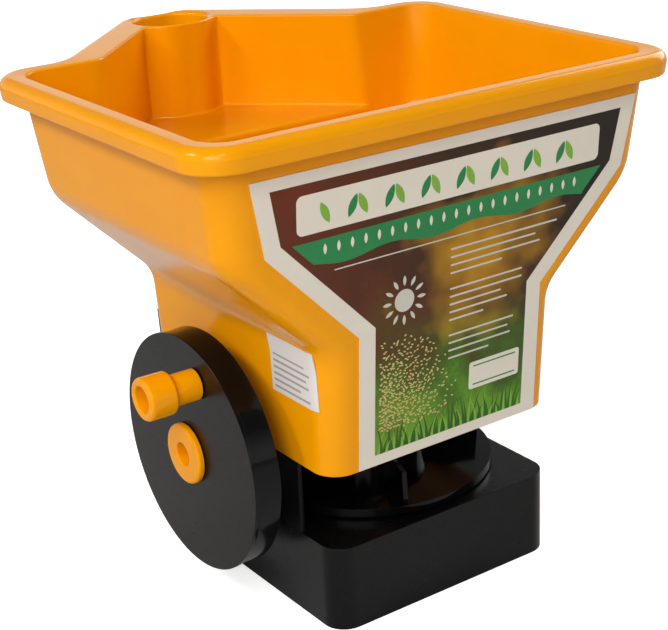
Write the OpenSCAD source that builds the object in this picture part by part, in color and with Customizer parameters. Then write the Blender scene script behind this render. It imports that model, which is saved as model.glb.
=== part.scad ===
// Hand-held crank spreader for seed, salt and fertiliser.
// Units are millimetres. +Z is up, -Y is the front with the label, the crank is on -X.
// The origin is the middle of the base's underside.

/* [Hopper] */
// Width of the rim, side to side
rim_w = 222.4; // [214:0.2:238]
// Depth of the rim, front to back, without the grip bay
rim_d = 169.2; // [164:0.2:180]
// Height of the rim's top face
rim_top = 211.9; // [205:0.1:225]
// Height of the lip that hangs from the rim
lip_h = 9.3; // [6:0.1:12]
// Width of the rim's top face
lip_w = 9.4; // [7:0.2:12]
// Outer corner radius of the rim
rim_r = 17.2; // [14:0.2:22]
// Corner radius of the hopper's walls at the rim
bowl_r = 12.8; // [9:0.1:16]
// Corner radius of the hopper's neck
neck_r = 11.3; // [8:0.1:14]
// Wall thickness of the hopper
wall = 2.3; // [1.8:0.1:3]
// Width at the top of the sloping shoulders
shoulder_top_w = 196.5; // [188:0.5:202]
// Height of the top of the shoulders
shoulder_top_z = 163.2; // [158:0.2:170]
// Width at the foot of the shoulders
shoulder_foot_w = 114.5; // [113.5:0.5:122]
// Height of the foot of the shoulders
shoulder_foot_z = 121.6; // [114:0.2:128]
// Length of the rounding where shoulder and wall meet
shoulder_blend = 7; // [3:0.5:10]
// Width of the neck at its lower edge
neck_w = 113; // [111:0.5:116]
// Depth of the neck at its lower edge
neck_d = 133.5; // [130:0.5:137]
// Height of the gap between base and neck
gap_h = 31.3; // [28:0.1:36]
// Height of the hopper's floor above the neck's lower edge
floor_rise = 4.7; // [4.5:0.1:7]
// Thickness of the hopper's floor
floor_t = 2.5; // [2:0.1:4]

/* [Grip] */
// Width of the grip bay where it leaves the rim
bay_w = 155; // [140:1:160]
// Width of the grip bay at its end
bay_end_w = 32; // [28:0.5:36]
// Reach of the grip bay behind the rim
bay_reach = 63.1; // [58:0.1:72]
// Width of the top face along the bay's slanting sides
bay_lip = 16.2; // [12:0.2:18]
// Height of the bay's underside
bay_floor_z = 167; // [164:0.5:175]
// Width of the grip column
grip_w = 39; // [36:0.5:42]
// Depth of the grip column
grip_d = 33; // [30:0.5:35]
// Wall thickness of the grip column
grip_wall = 2.2; // [1.8:0.1:3]
// Height of the grip column's lower end
grip_bottom = 82; // [80:0.5:95]

/* [Base] */
// Width of the base
base_w = 112.5; // [112:0.5:116]
// Depth of the base
base_d = 134.5; // [132:0.5:140]
// Height of the base
base_h = 37; // [36:0.5:40]
// Corner radius of the base
base_r = 10; // [6:0.5:14]
// Wall thickness of the base
base_t = 2.5; // [2:0.1:3.5]
// Thickness of the bottom cover
cover_t = 2.5; // [2:0.1:3.5]
// Radius of the posts that take the cover's screws
post_r = 4.5; // [4:0.1:5.5]

/* [Frame] */
// Thickness of the frame's left wall
frame_t = 2.35; // [2:0.05:2.6]
// Distance from the middle to the left wall's front edge
frame_front = 43.8; // [42:0.2:50]
// Width of the frame's back wall
back_w = 101; // [96:1:104]
// Height of the top of the frame's back wall
back_top = 98; // [92:0.5:106]
// Thickness of the frame's back wall
back_t = 5; // [4:0.1:6.5]
// Height of the back wall above the screws that hold the hopper
back_screw_drop = 9.7; // [7:0.1:14]
// Distance of the hopper's screws from the middle
back_screw_x = 34; // [28:0.5:40]
// Distance of the frame's back screws from the middle
frame_screw_x = 30; // [24:0.5:36]
// Radius of the post that takes the left wall's screw
bead_r = 4.5; // [4:0.1:5.5]
// Distance of the left wall's screw behind the middle
left_screw_y = 30; // [24:0.5:40]
// Radius of the boss that carries the crank's axle
boss_r = 10.5; // [9.5:0.1:12]

/* [Crank] */
// Radius of the crank wheel
wheel_r = 50; // [49.6:0.2:52]
// Depth of the crank wheel
wheel_depth = 12.3; // [12:0.1:14]
// Thickness of the crank wheel's disc
disc_t = 3; // [2.5:0.1:3.2]
// Step between the wheel's front flange and its skirt
flange_step = 0.6; // [0.4:0.1:1.2]
// Thickness of the wheel's front flange
flange_t = 2; // [1.5:0.1:3]
// Wall thickness of the wheel's skirt
skirt_t = 2.6; // [2.2:0.1:3]
// Growth of the skirt's radius towards its open back, the mould's draft
skirt_draft = 0.8; // [0:0.1:1.2]
// Gap between the wheel and the base's left face
wheel_gap = 11.75; // [11:0.05:14]
// Height of the crank's axle
axle_z = 64.3; // [62.5:0.1:67]
// Radius of the axle pin
axle_r = 7; // [6.5:0.1:7.5]
// Radius of the axle pin's head
hub_r = 12.9; // [11:0.1:15]
// Thickness of the axle pin's head
hub_t = 2.9; // [2:0.1:4]
// Radius of the hole in the axle pin
hub_hole_r = 4.9; // [4.5:0.1:5.2]
// Distance of the knob from the axle
knob_arm = 35.9; // [32:0.1:38]
// Lean of the knob's arm towards the front, in degrees
knob_lean = 17.7; // [0:0.1:40]
// Radius of the knob's stem
knob_stem_r = 6.5; // [6:0.1:8]
// Radius of the knob's head
knob_head_r = 8.9; // [8.2:0.1:11]
// Length of the knob's stem
knob_stem_l = 11.9; // [9:0.1:16]
// Length of the knob's head
knob_head_l = 12.2; // [10:0.1:18]
// Radius of the recess in the knob's head
knob_hole_r = 5.5; // [5.2:0.1:6]
// Radius of the peg that the knob turns on
peg_r = 4; // [3.5:0.1:4.6]

/* [Gears] */
// Module of the spur gears
gear_m = 1.25; // [1.24:0.01:1.26]
// Teeth of the ring gear in the wheel
ring_teeth = 70; // [69:1:70]
// Teeth of the drive pinion
pinion_teeth = 14; // [13:1:15]
// Module of the bevel gears
bevel_m = 1.25; // [1.15:0.05:1.3]
// Teeth of each bevel gear
bevel_teeth = 16; // [15:1:17]
// Radius of the cross shaft
cross_r = 2.5; // [2:0.1:2.7]
// Length of the cross shaft's outer bush
cross_bush_l = 12; // [10:0.5:13]
// Radius of the spinner shaft
spin_r = 3; // [2.6:0.1:3.2]

/* [Spinner] */
// Radius of the spinner disc
spinner_r = 53.4; // [51:0.2:54]
// Gap between the spinner disc and the frame's left wall
spinner_gap = 2.9; // [1:0.1:3]
// Place of the spinner's shaft, forward of the middle
spinner_fwd = 9.4; // [6:0.2:10]
// Height of the spinner's rim
spinner_rim_h = 3.4; // [2.6:0.1:4]
// Thickness of the spinner disc
spinner_t = 2.2; // [1.8:0.1:2.5]
// Height of the spinner's hub
spin_hub_h = 7; // [5:0.5:8]
// Wall thickness of the spinner's hub
spin_hub_wall = 4.5; // [3.5:0.1:6]
// Number of vanes
vanes = 4; // [3:1:5]
// Height of the vanes above the disc
vane_h = 13; // [10:0.5:14]
// Thickness of the vanes
vane_t = 2; // [1.6:0.1:3]
// Distance of the vanes' outer ends from the disc's edge
vane_inset = 3; // [0.6:0.1:6]
// Slant of the vanes' outer ends
vane_slant = 1.2; // [0:0.1:8]
// Turn of the vanes about the shaft, in degrees
vane_turn = 251.6; // [240:0.1:265]

/* [Flow regulator] */
// Width of the outlet in the hopper's floor
outlet_w = 28; // [20:0.5:32]
// Length of the outlet in the hopper's floor
outlet_l = 18; // [12:0.5:20]
// Distance from the spinner's shaft to the outlet
outlet_start = 14; // [13:0.5:16]
// Thickness of the shutter
shutter_t = 2; // [1.6:0.1:2.2]
// Length of the finger tab behind the frame
tab_l = 12; // [9:0.5:14]
// Height of the finger tab
tab_h = 7; // [5:0.5:9]

/* [Labels] */
// Width of the front label at its top
label_top_w = 181.7; // [170:0.5:184]
// Height of the front label's top edge
label_top_z = 196.2; // [190:0.2:198]
// Width of the front label across the neck
label_neck_w = 89.6; // [80:0.2:90]
// Sideways shift of the front label
label_shift = 2; // [0:0.5:3]
// Width of the side sticker
sticker_w = 30.5; // [24:0.5:34]
// Height of the side sticker
sticker_h = 24.3; // [18:0.1:28]
// Reach of the side sticker round the neck's front corner
sticker_wrap = 2.6; // [0:0.1:3]
// Thickness of the label film
film_t = 0.3; // [0.2:0.05:0.5]

/* [Fits] */
// Radial clearance of a turning shaft
running = 0.06; // [0.04:0.01:0.09]
// Radial clearance of a seated piece
seat = 0.02; // [0.01:0.01:0.03]
// Gap between faces that slide or turn past each other
slip = 0.3; // [0.2:0.05:0.4]
// Radius of the screws' shanks
screw_r = 1.45; // [1.2:0.05:1.6]
// Radius of the screws' heads
screw_head_r = 3; // [2.6:0.1:3.4]
// Thickness of the screws' heads
screw_head_t = 2; // [1.6:0.1:2.4]

/* [Hidden] */
$fn = 64;

yellow = "#f6a21b";
black = "#1c1c1f";
steel = "#b9bcc0";
bronze = "#b08a4a";
nylon = "#e9e4d6";

// Hopper heights, and the two planes that its front and back walls follow
neck_z = base_h + gap_h;
floor_under = neck_z + floor_rise;
floor_top = floor_under + floor_t;
bowl_w = rim_w - 2 * lip_w + 2 * wall;
bowl_d = rim_d - 2 * lip_w + 2 * wall;
wall_slope = (bowl_d - neck_d) / 2 / (rim_top - neck_z);
wall_lean = atan(wall_slope);
function half_depth(z) = neck_d / 2 + wall_slope * (z - neck_z);
function neck_half_width(z) =
    (neck_w + (shoulder_foot_w - neck_w) * (z - neck_z) / (shoulder_foot_z - neck_z)) / 2;

// Grip
bay_k = (bay_w - bay_end_w) / 2 / bay_reach;
bay_end_y = rim_d / 2 + bay_reach;
grip_y = bay_end_y - grip_d / 2;

// Crank, seen along X
wheel_back_x = -base_w / 2 - wheel_gap;
wheel_face_x = wheel_back_x - wheel_depth;
disc_back_x = wheel_face_x + disc_t;
skirt_r = wheel_r - flange_step;
boss_end_x = wheel_back_x + slip;
pin_end_x = boss_end_x + 6;
pin_floor_x = pin_end_x - 3.6;
axle_screw_r = screw_r + 0.3;
axle_head_r = hub_hole_r - 0.6;
knob_y = -knob_arm * sin(knob_lean);
knob_z = axle_z + knob_arm * cos(knob_lean);
knob_shoulder_x = wheel_face_x - slip - knob_stem_l - 1.6;
knob_end_x = wheel_face_x - slip - knob_stem_l - knob_head_l;
peg_end_x = knob_shoulder_x - slip;
knob_screw_l = 9;

// Spinner shaft, cross shaft and gears
spinner_x = -base_w / 2 + frame_t + spinner_gap + spinner_r;
spinner_y = -spinner_fwd;
ring_pitch_r = gear_m * ring_teeth / 2;
pinion_pitch_r = gear_m * pinion_teeth / 2;
gear_centres = ring_pitch_r - pinion_pitch_r;
cross_z = axle_z - sqrt(gear_centres * gear_centres - spinner_fwd * spinner_fwd);
mesh_angle = atan2(cross_z - axle_z, spinner_y);
pressure_angle = 20;
tooth_play = 0.3;
ring_root_r = ring_pitch_r + 1.15 * gear_m;
ring_tip_r = ring_pitch_r - 0.75 * gear_m;
pinion_tip_r = pinion_pitch_r + 0.85 * gear_m;
pinion_root_r = pinion_pitch_r - 1.15 * gear_m;
ring_x = disc_back_x;
ring_w = wheel_back_x - disc_back_x - 2.5;
pinion_x = ring_x + 0.6;
pinion_w = ring_w - 0.8;
bevel_r = bevel_m * bevel_teeth / 2;
bevel_small = 0.6;
bevel_tip = 0.8 * bevel_m;
bevel_root = 1.05 * bevel_m;
bevel_hub_r = 5.8;
bevel_hub_l = 5;
spin_hub_l = 2.4;

// Bearings of the two shafts
bush_t = 2;
bush_flange = 1;
bush_lip = 1.5;
sleeve_end_x = wheel_back_x - 1.2;
bush_wall = 3;
sleeve_r = cross_r + bush_t + bush_wall;
pillar_t = 5;
pillar_w = 16;
pillar_x = spinner_x - bevel_r - bevel_root - bevel_hub_l - slip - bush_flange - pillar_t;
dome_under = cross_z + bevel_r + bevel_root + spin_hub_l + slip;
dome_top = dome_under + base_t;
dome_in_r = bevel_r + bevel_root + bevel_hub_l + 2.5;
dome_r = dome_in_r + base_t;
foot_h = 12;

// Spinner disc, with a raised crown over the base's dome
spinner_low = base_h + 1;
spinner_top = spinner_low + spinner_rim_h;
crown_in_r = dome_r + 1.2;
crown_under = dome_top + bush_flange + slip;
crown_top = crown_under + spinner_t;
spin_hub_r = spin_r + spin_hub_wall;
spin_hub_top = crown_top + spin_hub_h;
nut_h = 5;
vane_rise = 8;
agitator_z = floor_top + bush_flange + slip;
agitator_h = 8;
finger_r = 1.6;
finger_l = 20;

// Frame
frame_in_x = -base_w / 2 + frame_t;
bead_sink = 0.4;
frame_screw_in = base_t + screw_head_r + slip;
frame_screw_y = base_d / 2 - frame_screw_in;
frame_back_y = frame_screw_y - 3.2;
foot_x = -base_w / 2 + max(frame_screw_in, frame_t + bead_r - bead_sink);
foot_r = foot_x - frame_in_x + bead_sink;
frame_screw_at = [[foot_x, left_screw_y], [-frame_screw_x, frame_screw_y], [frame_screw_x, frame_screw_y]];
frame_screw_l = 12;
hopper_screw_z = back_top - back_screw_drop;
hopper_screw_l = back_t + wall + 3;
cover_post_in_x = 14;
cover_post_in_y = 18;
cover_post_at = [for (sx = [-1, 1], sy = [-1, 1])
    [sx * (base_w / 2 - cover_post_in_x), sy * (base_d / 2 - cover_post_in_y)]];
cover_screw_l = 12;
cover_gap = 0.2;

// Flow regulator
outlet_y = spinner_y + outlet_start;
shutter_top = floor_under - 0.4;
shutter_low = shutter_top - shutter_t;
shutter_lap = 4;
shutter_w = outlet_w + 2 * shutter_lap;
shutter_y = outlet_y - shutter_lap;
shutter_travel = outlet_l + shutter_lap;
rail_w = 5;
rail_lip = 2;
rail_low = shutter_low - slip - 1.6;
rail_end_y = neck_d / 2 - wall - 0.6;
tab_y = half_depth(floor_under) + back_t + 3;
guide_screw_back = 16;
guide_screw_at = [for (sx = [-1, 1], y = [outlet_y, outlet_y + outlet_l + guide_screw_back])
    [spinner_x + sx * (shutter_w / 2 + slip + rail_w / 2), y]];
guide_screw_l = 3.2;

// Shapes that repeat

// A rectangle with round corners
module round_rect(w, d, r) {
    square([w - 2 * r, d], center = true);
    square([w, d - 2 * r], center = true);
    for (sx = [-1, 1], sy = [-1, 1])
        translate([sx * (w / 2 - r), sy * (d / 2 - r)]) circle(r);
}

// A slot outline with two round ends along X
module stadium(w, d) {
    square([w - d, d], center = true);
    for (sx = [-1, 1]) translate([sx * (w - d) / 2, 0]) circle(d / 2);
}

// A cylinder along +X from x0 to x1, at y and z
module rod_x(x0, x1, y, z, r) {
    translate([x0, y, z]) rotate([0, 90, 0]) cylinder(h = x1 - x0, r = r);
}

// A flat shape drawn in Y and Z, extruded along +X from x0
module slab_x(x0, t) {
    translate([x0, 0, 0]) rotate([90, 0, 90]) linear_extrude(t) children();
}

// A pan-head screw along +Z, with the underside of its head at the origin
module screw(l, shank_r = screw_r, head_r = screw_head_r, head_t = screw_head_t) {
    cylinder(h = l, r = shank_r);
    difference() {
        translate([0, 0, -head_t]) cylinder(h = head_t, r = head_r);
        for (a = [0, 90]) rotate(a)
            translate([-head_r * 0.6, -head_r * 0.12, -head_t - 1])
                cube([head_r * 1.2, head_r * 0.24, 1 + head_t * 0.45]);
    }
}

// One ring of points round a rectangle with round corners, at height z
corner_steps = 6;
function ring_points(w, d, r, z) = [
    for (q = [0:3], i = [0:corner_steps])
        let (a = 90 * q + 90 * i / corner_steps,
             sx = (q == 0 || q == 3) ? 1 : -1,
             sy = (q < 2) ? 1 : -1)
        [sx * (w / 2 - r) + r * cos(a), sy * (d / 2 - r) + r * sin(a), z]];

// A closed solid through a list of rings with equally many points
module loft(rings) {
    n = len(rings[0]);
    last = len(rings) - 1;
    polyhedron(
        points = [for (ring = rings) for (p = ring) p],
        faces = concat(
            [[for (i = [0:n - 1]) i]],
            [for (k = [0:last - 1], i = [0:n - 1])
                each [[k * n + i, (k + 1) * n + i, (k + 1) * n + (i + 1) % n],
                      [k * n + i, (k + 1) * n + (i + 1) % n, k * n + (i + 1) % n]]],
            [[for (i = [n - 1:-1:0]) last * n + i]]));
}

// Points of a rounded bend at b, between the directions of a and c
bend_steps = 4;
function unit(v) = v / norm(v);
function bend(a, b, c, f) = [
    for (i = [0:bend_steps])
        let (t = i / bend_steps, p = b + f * unit(a - b), q = b + f * unit(c - b))
        (1 - t) * (1 - t) * p + 2 * t * (1 - t) * b + t * t * q];

// Half width against height: neck, sloping shoulder and bowl, moved in by t
function body_profile(t, z0, z1) = let (
    bowl_slope = (bowl_w - shoulder_top_w) / 2 / (rim_top - shoulder_top_z),
    rise = t * (sqrt(2) - 1),
    low = [neck_half_width(z0) - t, z0],
    foot = [shoulder_foot_w / 2 - t, shoulder_foot_z + rise],
    top = [shoulder_top_w / 2 - t, shoulder_top_z + rise],
    high = [bowl_w / 2 + bowl_slope * (z1 - rim_top) - t, z1])
    concat([low], bend(low, foot, top, shoulder_blend), bend(foot, top, high, shoulder_blend), [high]);

// The hopper's body as a solid, moved in by t, between two heights
module body_solid(t, z0, z1) {
    loft([for (p = body_profile(t, z0, z1))
        let (share = (p[1] - neck_z) / (rim_top - neck_z),
             r = neck_r + (bowl_r - neck_r) * share)
        ring_points(2 * p[0], 2 * (half_depth(p[1]) - t), r - t * 0.8, p[1])]);
}

// The grip bay's outline, moved in by t, between two places along Y
module bay_outline(t, y0, y1) {
    function half(y) = bay_w / 2 - bay_k * (y - rim_d / 2) - t * sqrt(1 + bay_k * bay_k);
    polygon([[-half(y0), y0], [half(y0), y0], [half(y1), y1], [-half(y1), y1]]);
}

// The whole rim's outline, moved in by t
module rim_outline(t) {
    round_rect(rim_w - 2 * t, rim_d - 2 * t, rim_r - t);
    bay_outline(t, rim_d / 2 - rim_r, bay_end_y - t);
}

// The angle, in degrees, by which an involute has turned at radius r
function involute(r, base) = r <= base ? 0
    : let (a = acos(base / r)) tan(a) * 180 / PI - a;

// One tooth's outline as [radius, angle] pairs; grow widens it at the pitch circle
tooth_steps = 3;
function tooth(pitch, count, root, tip, grow) = let (
    base = pitch * cos(pressure_angle),
    half = 90 / count + grow / 2 / pitch * 180 / PI + involute(pitch, base),
    radii = [for (i = [0:tooth_steps]) max(root, base) + (tip - max(root, base)) * i / tooth_steps])
    concat([[root, -half + involute(root, base)]],
           [for (r = radii) [r, -half + involute(r, base)]],
           [for (i = [tooth_steps:-1:0]) [radii[i], half - involute(radii[i], base)]],
           [[root, half - involute(root, base)]]);

// A toothed outline, with a tooth centred on the angle turn
module gear_outline(pitch, count, root, tip, grow, turn) {
    one = tooth(pitch, count, root, tip, grow);
    polygon([for (k = [0:count - 1], p = one)
        let (a = p[1] + turn + 360 * k / count) p[0] * [cos(a), sin(a)]]);
}

// The teeth of a bevel gear with 45 degree cones, its cones' tip at the origin and its axis on +Z
module bevel_teeth_solid(turn) {
    back = bevel_r * sqrt(2);
    one = tooth(back, bevel_teeth * sqrt(2), back - bevel_root, back + bevel_tip, -tooth_play);
    edge = [for (k = [0:bevel_teeth - 1], p = one)
        let (a = p[1] * sqrt(2) + turn + 360 * k / bevel_teeth, r = p[0] / sqrt(2))
        [r * cos(a), r * sin(a), 2 * bevel_r - r]];
    n = len(edge);
    polyhedron(
        points = concat(bevel_small * edge, edge,
                        [[0, 0, bevel_small * bevel_r], [0, 0, bevel_r + bevel_root]]),
        faces = [for (i = [0:n - 1]) let (j = (i + 1) % n)
            each [[i, n + i, n + j], [i, n + j, j], [i, j, 2 * n], [n + j, n + i, 2 * n + 1]]]);
}

// A flanged bush along +Z, with its flange's face at the origin
module bush(l, bore, outer, flange_r) {
    difference() {
        union() {
            cylinder(h = bush_flange, r = flange_r);
            cylinder(h = bush_flange + l, r = outer);
        }
        translate([0, 0, -1]) cylinder(h = l + bush_flange + 2, r = bore);
    }
}

// Sub-parts

// Hopper: one moulding with rim, grip bay, hollow grip and a raised floor
module hopper() color(yellow) {
    pocket_w = neck_w - 2 * wall;
    pocket_d = neck_d - 2 * wall;
    difference() {
        union() {
            body_solid(0, neck_z, rim_top);
            translate([0, 0, rim_top - wall]) linear_extrude(wall) rim_outline(0);
            translate([0, 0, rim_top - lip_h]) linear_extrude(lip_h) difference() {
                rim_outline(0);
                rim_outline(wall);
            }
            translate([0, 0, bay_floor_z]) linear_extrude(rim_top - bay_floor_z)
                bay_outline(bay_lip - wall, half_depth(bay_floor_z) - wall, grip_y);
            translate([0, grip_y, grip_bottom]) linear_extrude(rim_top - grip_bottom)
                stadium(grip_w, grip_d);
        }
        body_solid(wall, floor_top, rim_top + 1);
        translate([0, 0, bay_floor_z + wall]) linear_extrude(rim_top) difference() {
            bay_outline(bay_lip, half_depth(bay_floor_z) - 2 * wall, grip_y);
            translate([0, grip_y]) stadium(grip_w, grip_d);
        }
        translate([0, grip_y, grip_bottom + grip_wall]) linear_extrude(rim_top)
            stadium(grip_w - 2 * grip_wall, grip_d - 2 * grip_wall);
        translate([0, 0, neck_z - 1]) linear_extrude(floor_rise + 1)
            round_rect(pocket_w, pocket_d, neck_r - wall);
        translate([spinner_x - outlet_w / 2, outlet_y, floor_under - 1])
            cube([outlet_w, outlet_l, floor_t + 2]);
        translate([spinner_x, spinner_y, floor_under - 1])
            cylinder(h = floor_t + 2, r = spin_r + bush_t + seat);
        translate([spinner_x - shutter_w / 2 - slip, pocket_d / 2 - 1, rail_low])
            cube([shutter_w + 2 * slip, wall + 4, floor_under - rail_low]);
        for (p = guide_screw_at)
            translate([p[0], p[1], floor_under - 1]) cylinder(h = floor_t - 0.3, r = screw_r + seat);
        for (sx = [-1, 1])
            translate([sx * back_screw_x, half_depth(hopper_screw_z) - wall - 3, hopper_screw_z])
                rotate([-90, 0, 0]) cylinder(h = wall + 6, r = screw_r + seat);
    }
}

// Distance along the leaning front face, from the neck's lower edge up to height z
function up_front(z) = (z - neck_z) / cos(wall_lean);

// Front label: a film cut to the shape of the front face
module front_label() color("#d9d6cb") {
    top = label_top_w / 2;
    knee = top - 5.6;
    neck = label_neck_w / 2;
    knee_z = shoulder_top_z + 4;
    foot_z = knee_z - (knee - neck) * 1.02;
    translate([label_shift, -half_depth(neck_z) - 0.05, neck_z]) rotate([90 + wall_lean, 0, 0])
        linear_extrude(film_t)
            polygon([[-neck, 0.6], [neck, 0.6], [neck, up_front(foot_z)], [knee, up_front(knee_z)],
                     [top, up_front(label_top_z)], [-top, up_front(label_top_z)],
                     [-knee, up_front(knee_z)], [-neck, up_front(foot_z)]]);
}

// Side sticker: a small white film on the neck's left wall, following it into the shoulder
module side_sticker() color("#f0f0ee") {
    low_z = shoulder_foot_z - sticker_h - 0.6;
    front = -half_depth(low_z) + neck_r - sticker_wrap;
    inside = body_profile(-0.08, neck_z, rim_top);
    outside = body_profile(-0.08 - film_t, neck_z, rim_top);
    last = len(inside) - 1;
    translate([0, front + sticker_w, 0]) rotate([90, 0, 0]) linear_extrude(sticker_w) intersection() {
        polygon(concat([for (p = outside) [-p[0], p[1]]],
                       [for (i = [last:-1:0]) [-inside[i][0], inside[i][1]]]));
        translate([-rim_w / 2, low_z]) square([rim_w / 2, sticker_h]);
    }
}

// Drive frame: the left and back walls that carry the hopper and the crank's axle
module drive_frame() color(black) {
    wall_h = neck_z - base_h;
    neck_clear = neck_half_width(axle_z + boss_r) + slip;
    slot_x = spinner_x - shutter_w / 2 - slip;
    difference() {
        union() {
            translate([-base_w / 2, -frame_front + frame_t / 2, base_h])
                cube([frame_t, frame_front - frame_t / 2 + base_d / 2 - base_r, wall_h]);
            translate([-base_w / 2 + frame_t / 2, -frame_front + frame_t / 2, base_h])
                cylinder(h = wall_h, r = frame_t / 2);
            translate([foot_x, left_screw_y, base_h]) cylinder(h = wall_h, r = foot_r);
            translate([-base_w / 2 + base_r, base_d / 2 - base_r, base_h])
                cylinder(h = wall_h, r = base_r);
            slab_x(-back_w / 2, back_w)
                polygon([[frame_back_y, base_h], [base_d / 2 - 0.3, base_h],
                         [half_depth(neck_z) + back_t, neck_z - 4],
                         [half_depth(back_top) + back_t, back_top],
                         [half_depth(back_top) + seat, back_top],
                         [half_depth(neck_z) + seat, neck_z], [frame_back_y, neck_z]]);
            rod_x(boss_end_x, -neck_clear, 0, axle_z, boss_r);
            intersection() {
                rod_x(-neck_clear - 1, frame_in_x, 0, axle_z, boss_r);
                translate([-neck_clear - 1, -boss_r, 0]) cube([neck_clear, 2 * boss_r, neck_z]);
            }
        }
        rod_x(boss_end_x - 1, pin_end_x + slip, 0, axle_z, axle_r + seat);
        rod_x(pin_end_x - 1, frame_in_x - 0.8, 0, axle_z, axle_screw_r + seat);
        rod_x(-base_w / 2 - 1, -base_w / 2 + frame_t + 1, spinner_y, cross_z, sleeve_r + slip);
        translate([slot_x, frame_back_y - 1, rail_low])
            cube([shutter_w + 2 * slip, base_d / 2, floor_under - rail_low]);
        for (p = frame_screw_at)
            translate([p[0], p[1], base_h - 1]) cylinder(h = frame_screw_l, r = screw_r + seat);
        for (sx = [-1, 1])
            translate([sx * back_screw_x, half_depth(hopper_screw_z) - 3, hopper_screw_z])
                rotate([-90, 0, 0]) cylinder(h = back_t + 6, r = screw_r + seat);
    }
}

// Base housing: the gear box that the spreader stands on, open below, with a dome over the gears
module base_housing() color(black) {
    pillar_low = cross_z - cross_r - bush_t - 4;
    difference() {
        union() {
            difference() {
                union() {
                    linear_extrude(base_h) round_rect(base_w, base_d, base_r);
                    translate([spinner_x, spinner_y, base_h - 1])
                        cylinder(h = dome_top - base_h + 1, r = dome_r);
                }
                translate([0, 0, -1]) linear_extrude(base_h - base_t + 1)
                    round_rect(base_w - 2 * base_t, base_d - 2 * base_t, base_r - base_t);
                translate([spinner_x, spinner_y, 0]) cylinder(h = dome_under, r = dome_in_r);
            }
            for (p = cover_post_at)
                translate([p[0], p[1], cover_t]) cylinder(h = base_h - base_t - cover_t + 0.5, r = post_r);
            rod_x(sleeve_end_x, -base_w / 2 + base_t, spinner_y, cross_z, sleeve_r);
            translate([pillar_x, spinner_y - pillar_w / 2, pillar_low])
                cube([pillar_t, pillar_w, base_h - base_t - pillar_low + 0.5]);
        }
        rod_x(sleeve_end_x - 1, pillar_x + pillar_t + 1, spinner_y, cross_z, cross_r + bush_t + seat);
        translate([spinner_x, spinner_y, dome_under - 1]) cylinder(h = base_t + 2, r = spin_r + bush_t + seat);
        for (p = cover_post_at)
            translate([p[0], p[1], cover_t - 1]) cylinder(h = cover_screw_l + 1, r = screw_r + seat);
        for (p = frame_screw_at)
            translate([p[0], p[1], base_h - base_t - 1]) cylinder(h = base_t + 2, r = screw_r + 0.2);
    }
}

// Base cover: closes the gear box and carries the spinner shaft's foot
module base_cover() color(black) {
    difference() {
        union() {
            linear_extrude(cover_t)
                round_rect(base_w - 2 * (base_t + cover_gap), base_d - 2 * (base_t + cover_gap),
                           base_r - base_t - cover_gap);
            translate([spinner_x, spinner_y, 0]) cylinder(h = foot_h, r = spin_r + bush_t + bush_wall);
        }
        translate([spinner_x, spinner_y, cover_t]) cylinder(h = foot_h, r = spin_r + bush_t + seat);
        for (p = cover_post_at) {
            translate([p[0], p[1], -1]) cylinder(h = cover_t + 2, r = screw_r + 0.2);
            translate([p[0], p[1], -1]) cylinder(h = 1 + cover_t / 2, r = screw_head_r + 0.3);
        }
    }
}

// Cover screws, sunk in the cover's underside
module cover_screws() color(steel) {
    for (p = cover_post_at)
        translate([p[0], p[1], cover_t / 2])
            screw(cover_screw_l - cover_t / 2, head_t = cover_t / 2 - 0.2);
}

// Frame screws, driven up through the base's top
module frame_screws() color(steel) {
    for (p = frame_screw_at)
        translate([p[0], p[1], base_h - base_t]) screw(frame_screw_l);
}

// Hopper screws, driven through the frame's back wall into the hopper
module hopper_screws() color(steel) {
    for (sx = [-1, 1])
        translate([sx * back_screw_x,
                   half_depth(hopper_screw_z + screw_head_r) + back_t + seat, hopper_screw_z])
            rotate([90, 0, 0]) screw(hopper_screw_l);
}

// Hub pin: the headed pin that the crank wheel turns on
module hub_pin() color(yellow) {
    head_x = wheel_face_x - slip;
    difference() {
        union() {
            rod_x(head_x, pin_end_x, 0, axle_z, axle_r);
            translate([head_x, 0, axle_z]) rotate([0, -90, 0]) rotate_extrude()
                polygon([[0, 0], [hub_r, 0], [hub_r, hub_t - 1.2], [hub_r - 0.4, hub_t - 0.4],
                         [hub_r - 1.2, hub_t], [0, hub_t]]);
        }
        rod_x(head_x - hub_t - 1, pin_floor_x, 0, axle_z, hub_hole_r);
        rod_x(pin_floor_x - 1, pin_end_x + 1, 0, axle_z, axle_screw_r + seat);
    }
}

// Axle screw: holds the hub pin in the frame's boss
module axle_screw() color(steel) {
    translate([pin_floor_x, 0, axle_z]) rotate([0, 90, 0])
        screw(frame_in_x - 1.2 - pin_floor_x, axle_screw_r, axle_head_r, 2.4);
}

// Crank wheel: a disc with a deep skirt, a bearing boss and the knob's peg
module crank_wheel() color(black) {
    hub_boss_r = axle_r + 3;
    difference() {
        union() {
            rod_x(wheel_face_x, wheel_face_x + flange_t, 0, axle_z, wheel_r);
            difference() {
                translate([wheel_face_x, 0, axle_z]) rotate([0, 90, 0])
                    cylinder(h = wheel_depth, r1 = skirt_r, r2 = skirt_r + skirt_draft);
                rod_x(disc_back_x, wheel_back_x + 1, 0, axle_z, skirt_r - skirt_t);
            }
            rod_x(wheel_face_x, wheel_back_x, 0, axle_z, hub_boss_r);
            rod_x(peg_end_x, disc_back_x, knob_y, knob_z, peg_r);
        }
        rod_x(wheel_face_x - 1, wheel_back_x + 1, 0, axle_z, axle_r + running);
        rod_x(peg_end_x - 1, peg_end_x + knob_screw_l + 0.4, knob_y, knob_z, screw_r + seat);
    }
}

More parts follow.
